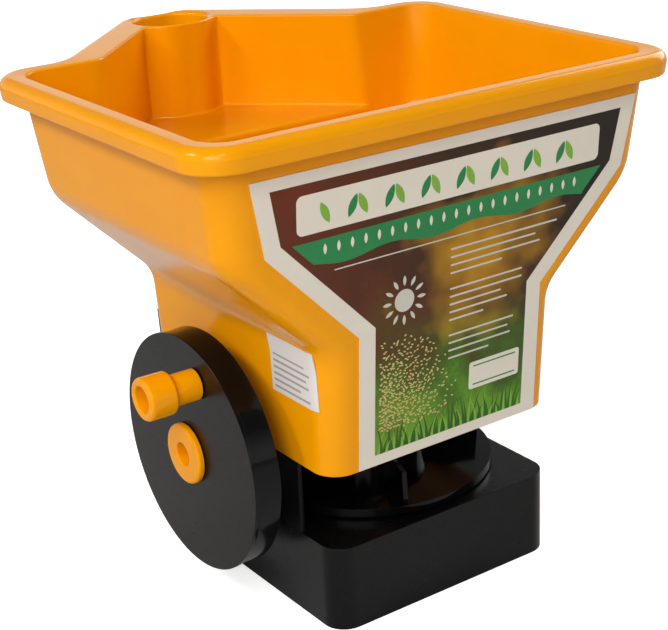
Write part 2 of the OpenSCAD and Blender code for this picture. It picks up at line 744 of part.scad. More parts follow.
// Ring gear: internal teeth pressed into the wheel's skirt
module ring_gear() color(yellow) {
    slab_x(ring_x, ring_w) translate([0, axle_z]) difference() {
        circle(skirt_r - skirt_t - seat, $fn = 240);
        gear_outline(ring_pitch_r, ring_teeth, ring_tip_r, ring_root_r, 0.1, mesh_angle);
    }
}

// Knob screw: keeps the knob on its peg
module knob_screw() color(steel) {
    translate([peg_end_x, knob_y, knob_z]) rotate([0, 90, 0])
        screw(knob_screw_l, screw_r, knob_hole_r - 0.6, 2.2);
}

// Crank knob: a stepped sleeve that turns on the wheel's peg
module crank_knob() color(yellow) {
    stem_x = wheel_face_x - slip;
    difference() {
        translate([stem_x, knob_y, knob_z]) rotate([0, -90, 0]) rotate_extrude()
            polygon([[0, 0], [knob_stem_r, 0], [knob_stem_r, knob_stem_l],
                     [knob_head_r - 0.8, knob_stem_l], [knob_head_r, knob_stem_l + 0.8],
                     [knob_head_r, knob_stem_l + knob_head_l - 1.2],
                     [knob_head_r - 1.2, knob_stem_l + knob_head_l], [0, knob_stem_l + knob_head_l]]);
        rod_x(knob_end_x - 1, knob_shoulder_x, knob_y, knob_z, knob_hole_r);
        rod_x(knob_end_x - 1, stem_x + 1, knob_y, knob_z, peg_r + running);
    }
}

// Cross shaft: takes the drive from the wheel into the base
module cross_shaft() color(steel) {
    rod_x(pinion_x, spinner_x - bevel_small * bevel_r, spinner_y, cross_z, cross_r);
}

// Cross shaft's two flanged bushes, in the base's sleeve and pillar
module cross_bushes() color(bronze) {
    outer = cross_r + bush_t;
    translate([pinion_x + pinion_w + 0.1, spinner_y, cross_z]) rotate([0, 90, 0])
        bush(cross_bush_l, cross_r + running, outer, outer + bush_lip);
    translate([pillar_x + pillar_t + bush_flange, spinner_y, cross_z]) rotate([0, -90, 0])
        bush(pillar_t, cross_r + running, outer, outer + bush_lip);
}

// Drive pinion: runs inside the ring gear
module drive_pinion() color(nylon) {
    slab_x(pinion_x, pinion_w) translate([spinner_y, cross_z]) difference() {
        gear_outline(pinion_pitch_r, pinion_teeth, pinion_root_r, pinion_tip_r, -tooth_play, mesh_angle);
        circle(cross_r + seat);
    }
}

// Bevel driver: on the inner end of the cross shaft
module bevel_driver() color(nylon) {
    translate([spinner_x, spinner_y, cross_z]) rotate([0, -90, 0]) difference() {
        union() {
            bevel_teeth_solid(0);
            translate([0, 0, bevel_r - 1]) cylinder(h = bevel_root + bevel_hub_l + 1, r = bevel_hub_r);
        }
        cylinder(h = 2 * bevel_r + bevel_hub_l, r = cross_r + seat);
    }
}

// Spinner bevel: turns the spinner shaft
module spinner_bevel() color(nylon) {
    translate([spinner_x, spinner_y, cross_z]) difference() {
        union() {
            bevel_teeth_solid(180 + 180 / bevel_teeth);
            translate([0, 0, bevel_r - 1]) cylinder(h = bevel_root + spin_hub_l + 1, r = bevel_hub_r);
        }
        cylinder(h = 2 * bevel_r + spin_hub_l, r = spin_r + seat);
    }
}

// Spinner shaft: upright through base, spinner and hopper floor
module spinner_shaft() color(steel) {
    translate([spinner_x, spinner_y, cover_t + 0.1])
        cylinder(h = agitator_z + agitator_h - cover_t, r = spin_r);
}

// Foot bush, in the cover's boss
module foot_bush() color(bronze) {
    translate([spinner_x, spinner_y, foot_h + bush_flange]) mirror([0, 0, 1])
        bush(foot_h - cover_t - 0.2, spin_r + running, spin_r + bush_t, spin_r + bush_t + bush_lip);
}

// Dome bush, in the top of the base's dome
module dome_bush() color(bronze) {
    translate([spinner_x, spinner_y, dome_top + bush_flange]) mirror([0, 0, 1])
        bush(base_t, spin_r + running, spin_r + bush_t, spin_r + bush_t + bush_lip);
}

// Floor bush, in the hopper's floor
module floor_bush() color(bronze) {
    translate([spinner_x, spinner_y, floor_top + bush_flange]) mirror([0, 0, 1])
        bush(floor_t, spin_r + running, spin_r + bush_t, spin_r + bush_t + bush_lip);
}

// Spinner disc: a flat disc with a raised crown and upright vanes
module spinner_disc() color(black) {
    crown_r = crown_in_r + spinner_t;
    web_low = spinner_top - spinner_t;
    translate([spinner_x, spinner_y, 0]) {
        rotate_extrude()
            polygon([[spin_r + seat, crown_under], [crown_in_r, crown_under], [crown_in_r, web_low],
                     [spinner_r - spinner_t, web_low], [spinner_r - spinner_t, spinner_low],
                     [spinner_r, spinner_low], [spinner_r, spinner_top], [crown_r, spinner_top],
                     [crown_r, crown_top], [spin_hub_r, crown_top], [spin_hub_r, spin_hub_top],
                     [spin_r + seat, spin_hub_top]]);
        for (k = [0:vanes - 1])
            rotate([90, 0, vane_turn + 360 * k / vanes])
                translate([0, 0, -vane_t / 2]) linear_extrude(vane_t)
                    polygon([[crown_r - 0.5, spinner_top - 0.5], [spinner_r - vane_inset, spinner_top - 0.5],
                             [spinner_r - vane_inset - vane_slant, spinner_top + vane_h],
                             [crown_r + vane_rise, spinner_top + vane_h], [crown_r - 0.5, crown_top - 1]]);
    }
}

// Spinner nut: a six-sided nut that clamps the disc on its shaft
module spinner_nut() color(steel) {
    translate([spinner_x, spinner_y, spin_hub_top]) difference() {
        cylinder(h = nut_h, r = spin_r + 2.8, $fn = 6);
        translate([0, 0, -1]) cylinder(h = nut_h + 2, r = spin_r + seat);
    }
}

// Agitator: two fingers that keep the seed moving above the outlet
module agitator() color(black) {
    hub = spin_r + bush_wall;
    translate([spinner_x, spinner_y, agitator_z]) difference() {
        union() {
            cylinder(h = agitator_h, r = hub);
            translate([-finger_l, 0, agitator_h / 2]) rotate([0, 90, 0])
                cylinder(h = 2 * finger_l, r = finger_r);
        }
        translate([0, 0, -1]) cylinder(h = agitator_h + 2, r = spin_r + seat);
    }
}

// Shutter guide: two rails under the hopper's floor, joined by a bridge at their front
module shutter_guide() color(black) {
    inner = shutter_w / 2 + slip;
    front_y = shutter_y - slip;
    difference() {
        translate([spinner_x, 0, 0]) {
            for (sx = [-1, 1]) {
                translate([sx * (inner + rail_w / 2) - rail_w / 2, front_y - 2, rail_low])
                    cube([rail_w, rail_end_y - front_y + 2, floor_under - rail_low]);
                translate([sx * (inner - rail_lip / 2) - rail_lip / 2, front_y - 2, rail_low])
                    cube([rail_lip, rail_end_y - front_y + 2, 1.6]);
            }
            translate([-inner, front_y - 2, rail_low]) cube([2 * inner, 2, floor_under - rail_low]);
        }
        for (p = guide_screw_at)
            translate([p[0], p[1], rail_low - 1]) cylinder(h = floor_under - rail_low + 2, r = screw_r + 0.2);
    }
}

// Guide screws, up into the hopper's floor
module guide_screws() color(steel) {
    for (p = guide_screw_at)
        translate([p[0], p[1], rail_low]) screw(floor_under - rail_low + floor_t - 1.6, head_t = 1.4);
}

// Flow shutter: a flat slide with a finger tab behind the frame
module flow_shutter() color(black) {
    translate([spinner_x - shutter_w / 2, shutter_y, shutter_low])
        cube([shutter_w, tab_y + tab_l - shutter_y, shutter_t]);
    translate([spinner_x - shutter_w / 2, tab_y + tab_l - 2.4, shutter_low])
        cube([shutter_w, 2.4, tab_h]);
    for (k = [0:2])
        translate([spinner_x - shutter_w / 2 + 4, tab_y + 1.5 + 2.6 * k, shutter_top - 0.2])
            cube([shutter_w - 8, 1.2, 1]);
}

hopper();
front_label();
side_sticker();
drive_frame();
base_housing();
base_cover();
cover_screws();
frame_screws();
hopper_screws();
hub_pin();
axle_screw();
crank_wheel();
ring_gear();
knob_screw();
crank_knob();
cross_shaft();
cross_bushes();
drive_pinion();
bevel_driver();
spinner_bevel();
spinner_shaft();
foot_bush();
dome_bush();
floor_bush();
spinner_disc();
spinner_nut();
agitator();
shutter_guide();
guide_screws();
flow_shutter();
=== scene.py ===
import math
import bmesh
import bpy
import numpy as np
from mathutils import Matrix, Vector


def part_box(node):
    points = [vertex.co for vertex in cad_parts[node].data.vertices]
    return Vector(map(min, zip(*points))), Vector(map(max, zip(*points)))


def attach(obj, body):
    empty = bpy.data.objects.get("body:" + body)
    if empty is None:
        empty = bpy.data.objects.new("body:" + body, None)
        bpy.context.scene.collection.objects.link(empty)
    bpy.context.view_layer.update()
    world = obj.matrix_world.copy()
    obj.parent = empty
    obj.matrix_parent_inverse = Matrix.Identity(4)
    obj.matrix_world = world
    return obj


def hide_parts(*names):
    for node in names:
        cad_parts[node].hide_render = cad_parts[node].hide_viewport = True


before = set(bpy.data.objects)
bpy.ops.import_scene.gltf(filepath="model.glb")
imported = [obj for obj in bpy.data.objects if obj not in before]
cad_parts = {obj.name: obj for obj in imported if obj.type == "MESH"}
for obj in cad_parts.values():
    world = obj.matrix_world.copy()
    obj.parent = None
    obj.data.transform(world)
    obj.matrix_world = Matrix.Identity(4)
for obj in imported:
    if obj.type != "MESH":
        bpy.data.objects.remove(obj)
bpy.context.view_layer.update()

# Base housing: the black box that the spreader stands on, one ABS moulding that is open below.
# A dome on its top covers the bevel gears, and a sleeve on its left side carries the cross shaft.
# It leaves a satin mould with narrow rounded edges, which catch the light as thin lines.
mm = 0.001


def linear(hex_colour):
    """An sRGB hex colour as linear red, green, blue and alpha."""
    parts = [int(hex_colour[i:i + 2], 16) / 255 for i in (1, 3, 5)]
    return tuple(c / 12.92 if c <= 0.04045 else ((c + 0.055) / 1.055) ** 2.4 for c in parts) + (1.0,)


def add_node(tree, kind, inputs=None, stops=None, **settings):
    """Adds a node, sets its fields and colour stops, and sets or links its inputs by name or number."""
    made = tree.nodes.new(kind)
    for field, value in settings.items():
        setattr(made, field, value)
    for socket, value in (inputs or {}).items():
        sources = value if isinstance(value, list) else [value]
        for source in sources:
            if isinstance(source, bpy.types.NodeSocket):
                tree.links.new(source, made.inputs[socket])
            else:
                made.inputs[socket].default_value = source
    for step, (position, colour) in enumerate(stops or []):
        elements = made.color_ramp.elements
        element = elements[step] if step < len(elements) else elements.new(position)
        element.position = position
        element.color = linear(colour)
    return made


def empty_material(name):
    """A material with no nodes yet, and its node tree."""
    material = bpy.data.materials.new(name)
    material.use_nodes = True
    material.node_tree.nodes.clear()
    return material, material.node_tree


def moulded_plastic(name, shades, gloss, specular, grain_mm):
    """A plastic as it leaves a steel mould: a nearly even colour, a fine grain and faint handling scuffs."""
    material, tree = empty_material(name)
    place = add_node(tree, "ShaderNodeTexCoord").outputs["Object"]
    # Flow marks some 40 mm wide shift the colour, and scuffs some 8 mm long dull the gloss
    flow = add_node(tree, "ShaderNodeTexNoise", {"Vector": place, "Scale": 1000 / 40, "Detail": 3.0})
    tint = add_node(tree, "ShaderNodeValToRGB", {"Fac": flow.outputs["Fac"]},
                    [(0.3, shades[0]), (0.7, shades[1])])
    scuff = add_node(tree, "ShaderNodeTexNoise", {"Vector": place, "Scale": 1000 / 8, "Detail": 8.0,
                                                  "Roughness": 0.7, "Distortion": 1.5})
    dull = add_node(tree, "ShaderNodeMapRange", {"Value": scuff.outputs["Fac"], "From Min": 0.45,
                                                 "From Max": 0.75, "To Min": gloss, "To Max": gloss + 0.05})
    grain = add_node(tree, "ShaderNodeTexNoise", {"Vector": place, "Scale": 1000 / grain_mm, "Detail": 2.0})
    bump = add_node(tree, "ShaderNodeBump", {"Height": grain.outputs["Fac"], "Strength": 0.01,
                                             "Distance": 0.0002})
    shader = add_node(tree, "ShaderNodeBsdfPrincipled",
                      {"Base Color": tint.outputs["Color"], "Roughness": dull.outputs["Result"],
                       "IOR": 1.5, "Specular IOR Level": specular, "Normal": bump.outputs["Normal"]})
    add_node(tree, "ShaderNodeOutputMaterial", {"Surface": shader.outputs["BSDF"]})
    return material


def settle(piece):
    """Turns a piece with modifiers into a plain mesh."""
    shape = bpy.data.meshes.new_from_object(piece.evaluated_get(bpy.context.evaluated_depsgraph_get()))
    piece.modifiers.clear()
    piece.data = shape


def softened_copy(name, node, edge_mm, segments=3):
    """A copy of a CAD node's mesh with its doubles merged, its flat faces joined and its edges rounded."""
    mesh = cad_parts[node].data.copy()
    work = bmesh.new()
    work.from_mesh(mesh)
    bmesh.ops.remove_doubles(work, verts=work.verts, dist=2e-6)
    bmesh.ops.dissolve_limit(work, angle_limit=math.radians(0.4), verts=work.verts, edges=work.edges)
    work.to_mesh(mesh)
    work.free()
    mesh.materials.clear()
    piece = bpy.data.objects.new(name, mesh)
    bpy.context.collection.objects.link(piece)
    rounding = piece.modifiers.new("rounded edges", "BEVEL")
    rounding.width = edge_mm * mm
    rounding.segments = segments
    rounding.limit_method = "ANGLE"
    rounding.angle_limit = math.radians(35)
    rounding.use_clamp_overlap = True
    settle(piece)
    return piece


def dress(piece, material, body, node):
    """Smooths a piece between its sharp edges, keeps its flats flat, gives it its finish, parents it to its
    body and hides the CAD node it stands for.
    """
    if material:
        piece.data.materials.clear()
        piece.data.materials.append(material)
    piece.data.polygons.foreach_set("use_smooth", [True] * len(piece.data.polygons))
    piece.data.set_sharp_from_angle(angle=math.radians(32))
    flats = piece.modifiers.new("flat faces", "WEIGHTED_NORMAL")
    flats.keep_sharp = True
    settle(piece)
    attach(piece, body)
    if node:
        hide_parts(node)


# ABS in black: so dark that its colour is mostly what it mirrors, softly: grey at a low angle, black face on
black_abs = moulded_plastic("black ABS, moulded in a satin tool", ("#060608", "#08080a"), 0.25, 0.2, 1.5)
dress(softened_copy("base_housing_moulding", "base_housing", 0.6), black_abs,
      "stand", "base_housing")

# Base cover: a flat black ABS plate pushed into the base from below, with a boss for the spinner's foot.
# Four screws in sunk holes hold it to posts in the base.
dress(softened_copy("base_cover_plate", "base_cover", 0.35, 2), black_abs,
      "stand", "base_cover")

# Cover screws: zinc-plated steel self-tapping screws with domed heads and a cross recess.
# They are cold headed and thread rolled, and drive up through the cover into the base's posts.
screw_tree = bpy.data.node_groups.new("cross_head_screws", "GeometryNodeTree")
screw_tree.interface.new_socket("Places", in_out="INPUT", socket_type="NodeSocketGeometry")
for size in ("Head radius", "Head height", "Shank radius", "Length", "Thread pitch"):
    screw_tree.interface.new_socket(size, in_out="INPUT", socket_type="NodeSocketFloat")
screw_tree.interface.new_socket("Turn", in_out="INPUT", socket_type="NodeSocketVector")
screw_tree.interface.new_socket("Finish", in_out="INPUT", socket_type="NodeSocketMaterial")
screw_tree.interface.new_socket("Screws", in_out="OUTPUT", socket_type="NodeSocketGeometry")
given = add_node(screw_tree, "NodeGroupInput").outputs
point = add_node(screw_tree, "GeometryNodeInputPosition").outputs["Position"]
axes = add_node(screw_tree, "ShaderNodeSeparateXYZ", {0: point}).outputs

# The shank is a ringed cylinder whose radius follows a spiral wave and runs out to a point
half_length = add_node(screw_tree, "ShaderNodeMath", {0: given["Length"], 1: 0.5},
                       operation="MULTIPLY").outputs[0]
angle = add_node(screw_tree, "ShaderNodeMath", {0: axes["Y"], 1: axes["X"]}, operation="ARCTAN2").outputs[0]
angle = add_node(screw_tree, "ShaderNodeMath", {0: angle, 1: 2 * math.pi}, operation="DIVIDE").outputs[0]
rise = add_node(screw_tree, "ShaderNodeMath", {0: axes["Z"], 1: given["Thread pitch"]},
                operation="DIVIDE").outputs[0]
spiral = add_node(screw_tree, "ShaderNodeMath", {0: rise, 1: angle}, operation="SUBTRACT").outputs[0]
wave = add_node(screw_tree, "ShaderNodeMath", {0: spiral, 1: 0.5}, operation="PINGPONG").outputs[0]
depth = add_node(screw_tree, "ShaderNodeMapRange", {"Value": wave, "From Min": 0.1, "From Max": 0.4,
                                                    "To Min": 1.0, "To Max": 0.78}).outputs["Result"]
left_over = add_node(screw_tree, "ShaderNodeMath", {0: half_length, 1: axes["Z"]},
                     operation="SUBTRACT").outputs[0]
left_over = add_node(screw_tree, "ShaderNodeMath", {0: left_over, 1: given["Shank radius"]},
                     operation="DIVIDE").outputs[0]
point_in = add_node(screw_tree, "ShaderNodeMapRange", {"Value": left_over, "From Min": 0.0, "From Max": 2.0,
                                                       "To Min": 0.2, "To Max": 1.0}).outputs["Result"]
pull = add_node(screw_tree, "ShaderNodeMath", {0: depth, 1: point_in}, operation="MULTIPLY").outputs[0]
pull = add_node(screw_tree, "ShaderNodeCombineXYZ", {"X": pull, "Y": pull, "Z": 1.0}).outputs[0]
threaded = add_node(screw_tree, "ShaderNodeVectorMath", {0: point, 1: pull}, operation="MULTIPLY").outputs[0]
shank = add_node(screw_tree, "GeometryNodeMeshCylinder", {"Vertices": 18, "Side Segments": 72,
                                                          "Radius": given["Shank radius"],
                                                          "Depth": given["Length"]}).outputs["Mesh"]
shank = add_node(screw_tree, "GeometryNodeSetPosition", {"Geometry": shank, "Position": threaded}).outputs[0]
lift = add_node(screw_tree, "ShaderNodeCombineXYZ", {"Z": half_length}).outputs[0]
shank = add_node(screw_tree, "GeometryNodeTransform", {"Geometry": shank, "Translation": lift}).outputs[0]

# The head is a flat cylinder whose outer face falls away to its edge, with two crossed slots cut in it
head = add_node(screw_tree, "GeometryNodeMeshCylinder",
                {"Vertices": 36, "Side Segments": 2, "Fill Segments": 6, "Radius": given["Head radius"],
                 "Depth": given["Head height"]}, fill_type="TRIANGLE_FAN").outputs["Mesh"]
half_head = add_node(screw_tree, "ShaderNodeMath", {0: given["Head height"], 1: 0.5},
                     operation="MULTIPLY").outputs[0]
flat = add_node(screw_tree, "ShaderNodeCombineXYZ", {"X": axes["X"], "Y": axes["Y"]}).outputs[0]
out = add_node(screw_tree, "ShaderNodeVectorMath", {0: flat}, operation="LENGTH").outputs["Value"]
out = add_node(screw_tree, "ShaderNodeMath", {0: out, 1: given["Head radius"]}, operation="DIVIDE").outputs[0]
out = add_node(screw_tree, "ShaderNodeMath", {0: out, 1: 2.6}, operation="POWER").outputs[0]
share = add_node(screw_tree, "ShaderNodeMath", {0: half_head, 1: axes["Z"]}, operation="SUBTRACT").outputs[0]
fall = add_node(screw_tree, "ShaderNodeMath", {0: out, 1: share}, operation="MULTIPLY").outputs[0]
fall = add_node(screw_tree, "ShaderNodeMath", {0: fall, 1: 0.5}, operation="MULTIPLY").outputs[0]
fall = add_node(screw_tree, "ShaderNodeCombineXYZ", {"Z": fall}).outputs[0]
head = add_node(screw_tree, "GeometryNodeSetPosition", {"Geometry": head, "Offset": fall}).outputs[0]
slot_long = add_node(screw_tree, "ShaderNodeMath", {0: given["Head radius"], 1: 1.2},
                     operation="MULTIPLY").outputs[0]
slot_wide = add_node(screw_tree, "ShaderNodeMath", {0: given["Head radius"], 1: 0.24},
                     operation="MULTIPLY").outputs[0]
slot_deep = add_node(screw_tree, "ShaderNodeMath", {0: given["Head height"], 1: 0.9},
                     operation="MULTIPLY").outputs[0]
outer_face = add_node(screw_tree, "ShaderNodeMath", {0: half_head, 1: -1.0}, operation="MULTIPLY").outputs[0]
outer_face = add_node(screw_tree, "ShaderNodeCombineXYZ", {"Z": outer_face}).outputs[0]
slots = []
for across, along in ((slot_long, slot_wide), (slot_wide, slot_long)):
    size = add_node(screw_tree, "ShaderNodeCombineXYZ", {"X": across, "Y": along, "Z": slot_deep}).outputs[0]
    bar = add_node(screw_tree, "GeometryNodeMeshCube", {"Size": size}).outputs["Mesh"]
    slots.append(add_node(screw_tree, "GeometryNodeTransform",
                          {"Geometry": bar, "Translation": outer_face}).outputs[0])
head = add_node(screw_tree, "GeometryNodeMeshBoolean", {"Mesh 1": head, "Mesh 2": slots},
                operation="DIFFERENCE", solver="EXACT").outputs["Mesh"]
head = add_node(screw_tree, "GeometryNodeTransform", {"Geometry": head, "Translation": outer_face}).outputs[0]

screw = add_node(screw_tree, "GeometryNodeJoinGeometry", {"Geometry": [shank, head]}).outputs[0]
turn = add_node(screw_tree, "FunctionNodeEulerToRotation", {"Euler": given["Turn"]}).outputs[0]
placed = add_node(screw_tree, "GeometryNodeInstanceOnPoints", {"Points": given["Places"], "Instance": screw,
                                                               "Rotation": turn}).outputs[0]
whole = add_node(screw_tree, "GeometryNodeRealizeInstances", {"Geometry": placed}).outputs[0]
coated = add_node(screw_tree, "GeometryNodeSetMaterial", {"Geometry": whole,
                                                          "Material": given["Finish"]}).outputs[0]
add_node(screw_tree, "NodeGroupOutput", {"Screws": coated})


def worked_metal(name, shades, gloss, streak):
    """A metal with fine tool marks drawn out along the axes with a low streak, and small dull patches."""
    material, tree = empty_material(name)
    place = add_node(tree, "ShaderNodeTexCoord").outputs["Object"]
    # Tool marks are about 0.05 mm apart; they are drawn at 0.4 mm so that they show
    drawn = add_node(tree, "ShaderNodeMapping", {"Vector": place, "Scale": streak}).outputs["Vector"]
    marks = add_node(tree, "ShaderNodeTexNoise", {"Vector": drawn, "Scale": 1000 / 0.4, "Detail": 4.0})
    patch = add_node(tree, "ShaderNodeTexNoise", {"Vector": place, "Scale": 1000 / 3, "Detail": 5.0})
    tint = add_node(tree, "ShaderNodeValToRGB", {"Fac": patch.outputs["Fac"]},
                    [(0.35, shades[0]), (0.65, shades[1])])
    dull = add_node(tree, "ShaderNodeMapRange", {"Value": marks.outputs["Fac"], "To Min": gloss - 0.08,
                                                 "To Max": gloss + 0.14})
    bump = add_node(tree, "ShaderNodeBump", {"Height": marks.outputs["Fac"], "Strength": 0.15,
                                             "Distance": 0.0001})
    shader = add_node(tree, "ShaderNodeBsdfPrincipled",
                      {"Base Color": tint.outputs["Color"], "Metallic": 1.0,
                       "Roughness": dull.outputs["Result"], "Normal": bump.outputs["Normal"]})
    add_node(tree, "ShaderNodeOutputMaterial", {"Surface": shader.outputs["BSDF"]})
    return material


# Zinc-plated steel: a cool bright grey, slightly cloudy, with soft reflections
zinc_steel = worked_metal("steel, zinc plated", ("#a9acb0", "#b9bbbe"), 0.36, (1.0, 1.0, 1.0))


def grow(piece, tree, values):
    """Runs a piece through a node tree with its named inputs set, and leaves a plain mesh."""
    maker = piece.modifiers.new(tree.name, "NODES")
    maker.node_group = tree
    for socket in tree.interface.items_tree:
        if socket.in_out == "INPUT" and socket.name in values:
            maker[socket.identifier] = values[socket.name]
    settle(piece)


def screw_set(name, places, turn, length, head_r=3.0, head_t=2.0, shank_r=1.45):
    """One mesh of equal screws, in millimetres; each place is the middle of the underside of a head."""
    mesh = bpy.data.meshes.new(name)
    mesh.from_pydata([(x * mm, y * mm, z * mm) for x, y, z in places], [], [])
    piece = bpy.data.objects.new(name, mesh)
    bpy.context.collection.objects.link(piece)
    grow(piece, screw_tree, {"Head radius": head_r * mm, "Head height": head_t * mm,
                             "Shank radius": shank_r * mm, "Length": length * mm, "Thread pitch": 0.0011,
                             "Turn": [math.radians(a) for a in turn], "Finish": zinc_steel})
    return piece


cover_under, cover_head, cover_length, post_x, post_y = 1.25, 1.05, 10.75, 42.25, 49.25
cover_places = [(x, y, cover_under) for x in (-post_x, post_x) for y in (-post_y, post_y)]
dress(screw_set("cover_screw_set", cover_places, (0, 0, 0), cover_length, head_t=cover_head), None,
      "stand", "cover_screws")

# Drive frame: the black ABS walls at the left and back that carry the hopper and the crank's axle.
# It stands on the base, held by three screws from below, and its left wall ends in a round nose.
# The same ABS from a grained tool: dull, so that its narrow nose shows only a faint line of light
dull_abs = moulded_plastic("black ABS, moulded in a grained tool", ("#060607", "#08080a"), 0.5, 0.15, 1.0)
dress(softened_copy("drive_frame_moulding", "drive_frame", 0.5), dull_abs,
      "stand", "drive_frame")
base_under_top, frame_length = 34.5, 12.0
frame_places = [(x, y, base_under_top) for x, y in ((-49.8, 30.0), (-30.0, 61.45), (30.0, 61.45))]
dress(screw_set("frame_screw_set", frame_places, (0, 0, 0), frame_length), None,
      "stand", "frame_screws")

# Drive train: a bright steel cross shaft in two flanged bronze bushes, a pinion in the wheel's ring gear,
# and a pair of bevel gears on to the upright spinner shaft. The gears are moulded nylon, pressed on.


def coat(node, material):
    """Gives a CAD node that is kept its finish."""
    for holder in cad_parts[node].material_slots:
        holder.material = material


# Bright drawn steel: clear reflections, with die marks along the bar
steel_across = worked_metal("steel, bright drawn, lying", ("#a6a7a6", "#b4b4b2"), 0.22, (0.03, 1.0, 1.0))
steel_upright = worked_metal("steel, bright drawn, upright", ("#a6a7a6", "#b4b4b2"), 0.22, (1.0, 1.0, 0.03))
# Sintered bronze: a dull oily brown gold with fine pores
bronze = worked_metal("bronze, sintered", ("#9a7038", "#ad8145"), 0.48, (1.0, 1.0, 1.0))
# Natural nylon: an ivory white with a waxy sheen
nylon = moulded_plastic("natural nylon, moulded", ("#e2dcc6", "#e8e2ce"), 0.42, 0.3, 0.8)
coat("cross_shaft", steel_across)
coat("spinner_shaft", steel_upright)
for bush in ("cross_bushes", "foot_bush", "dome_bush", "floor_bush"):
    coat(bush, bronze)
for gear in ("drive_pinion", "bevel_driver", "spinner_bevel"):
    coat(gear, nylon)

# Spinner: a glossy black ABS disc with a crown over the gears and upright vanes that throw the seed.
# A steel nut clamps it on the shaft, and a finger bar on top stirs the seed over the outlet.
# Polished black ABS: the same colour with clear reflections
polished_abs = moulded_plastic("black ABS, moulded in a polished tool", ("#060607", "#08080a"),
                               0.1, 0.2, 1.5)
dress(softened_copy("spinner_disc_moulding", "spinner_disc", 0.5), polished_abs,
      "spinner", "spinner_disc")
coat("spinner_nut", zinc_steel)
dress(softened_copy("agitator_bar", "agitator", 0.5), black_abs, "spinner", "agitator")

# Hopper: one orange polypropylene moulding with a turned-down rim, a bay at the back and a hollow grip.
# Its walls are 2.3 mm thick, lean outwards so that it leaves the mould, and meet in rounded corners.
# Its floor lies a little above the neck's lower edge and has the outlet and the shaft's bush in it.
low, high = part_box("hopper")
rim_w, rim_d, rim_top, bay_end = (high.x - low.x) * 1000, -2000 * low.y, high.z * 1000, high.y * 1000
lip_h, lip_w, rim_r, wall = 9.3, 9.4, 17.2, 2.3
neck_w, neck_d, neck_z, neck_r = 113.0, 133.5, 68.3, 11.3
foot_w, foot_z = 114.5, 121.6
shoulder_w, shoulder_z = 196.5, 163.2
bowl_r, shoulder_blend = 12.8, 7.0
floor_under, floor_top = 73.0, 75.5
bay_w, bay_end_w, bay_lip, bay_floor = 155.0, 32.0, 16.2, 167.0
grip_w, grip_d, grip_wall, grip_bottom = 39.0, 33.0, 2.2, 82.0
bowl_w = rim_w - 2 * lip_w + 2 * wall
bowl_d = rim_d - 2 * lip_w + 2 * wall
bay_slope = (bay_w - bay_end_w) / 2 / (bay_end - rim_d / 2)
grip_y = bay_end - grip_d / 2
shaft_x, shaft_y = 2.4, -9.4


def half_depth(z):
    """Half the hopper's depth at a height, on its leaning front and back planes."""
    return neck_d / 2 + (bowl_d - neck_d) / 2 * (z - neck_z) / (rim_top - neck_z)


def bend(a, b, c, size, steps):
    """Points of a rounded bend at b, on the way from a to c."""
    a, b, c = np.array(a), np.array(b), np.array(c)
    p = b + size * (a - b) / np.linalg.norm(a - b)
    q = b + size * (c - b) / np.linalg.norm(c - b)
    return [tuple((1 - t) ** 2 * p + 2 * t * (1 - t) * b + t * t * q) for t in np.linspace(0, 1, steps)]


def side_profile(inset):
    """Half width and height up the neck, the sloping shoulder and the bowl, moved in by a wall."""
    rise = inset * (math.sqrt(2) - 1)
    low = (neck_w / 2 - inset, neck_z)
    foot = (foot_w / 2 - inset, foot_z + rise)
    top = (shoulder_w / 2 - inset, shoulder_z + rise)
    high = (bowl_w / 2 - inset, rim_top)
    return [low] + bend(low, foot, top, shoulder_blend, 9) + bend(foot, top, high, shoulder_blend, 9) + [high]


def half_width(z, inset):
    """Half the hopper's width at a height."""
    points = side_profile(inset)
    return float(np.interp(z, [p[1] for p in points], [p[0] for p in points]))


def corner_radius(z):
    """The radius of the hopper's upright corners at a height."""
    return neck_r + (bowl_r - neck_r) * (z - neck_z) / (rim_top - neck_z)


def smooth_max(a, b, size):
    """The larger of two values, with a rounded change-over."""
    near = np.maximum(size - np.abs(a - b), 0) / size
    return np.maximum(a, b) + near * near * size / 4


def smooth_min(a, b, size):
    """The smaller of two values, with a rounded change-over."""
    return -smooth_max(-np.asarray(a), -np.asarray(b), size)


def slant(x, inset):
    """Where the bay's slanting side lies, at a distance from the middle."""
    lean = math.sqrt(1 + bay_slope ** 2)
    return rim_d / 2 + (bay_w / 2 - inset * lean - np.abs(x)) / bay_slope


def ring(z, half_x, half_y, radius, back=None):
    """One loop of points round a rectangle with round corners; back(x) gives its far side."""
    long_x, long_y = half_x - radius, half_y - radius
    turn = np.radians(np.linspace(0, 90, 12))[1:-1]
    across = np.linspace(-1, 1, 13) * long_x
    along = np.linspace(-1, 1, 9) * long_y
    rear_x = np.linspace(1, -1, 201) * long_x
    rear_y = np.full(201, half_y) if back is None else back(rear_x)
    loop = [(x, -half_y) for x in across]
    loop += [(long_x + radius * math.sin(a), -long_y - radius * math.cos(a)) for a in turn]
    loop += [(half_x, y) for y in along]
    loop += [(long_x + radius * math.cos(a), long_y + radius * math.sin(a)) for a in turn]
    loop += list(zip(rear_x, rear_y))
    loop += [(-long_x - radius * math.sin(a), long_y + radius * math.cos(a)) for a in turn]
    loop += [(-half_x, -y) for y in along]
    loop += [(-long_x - radius * math.cos(a), -long_y - radius * math.sin(a)) for a in turn]
    return [(float(x), float(y), z) for x, y in loop]


def body_ring(z, inset, back=None):
    """A loop on the hopper's body, moved in from its outer face."""
    return ring(z, half_width(z, inset), half_depth(z) - inset, corner_radius(z) - 0.8 * inset, back)


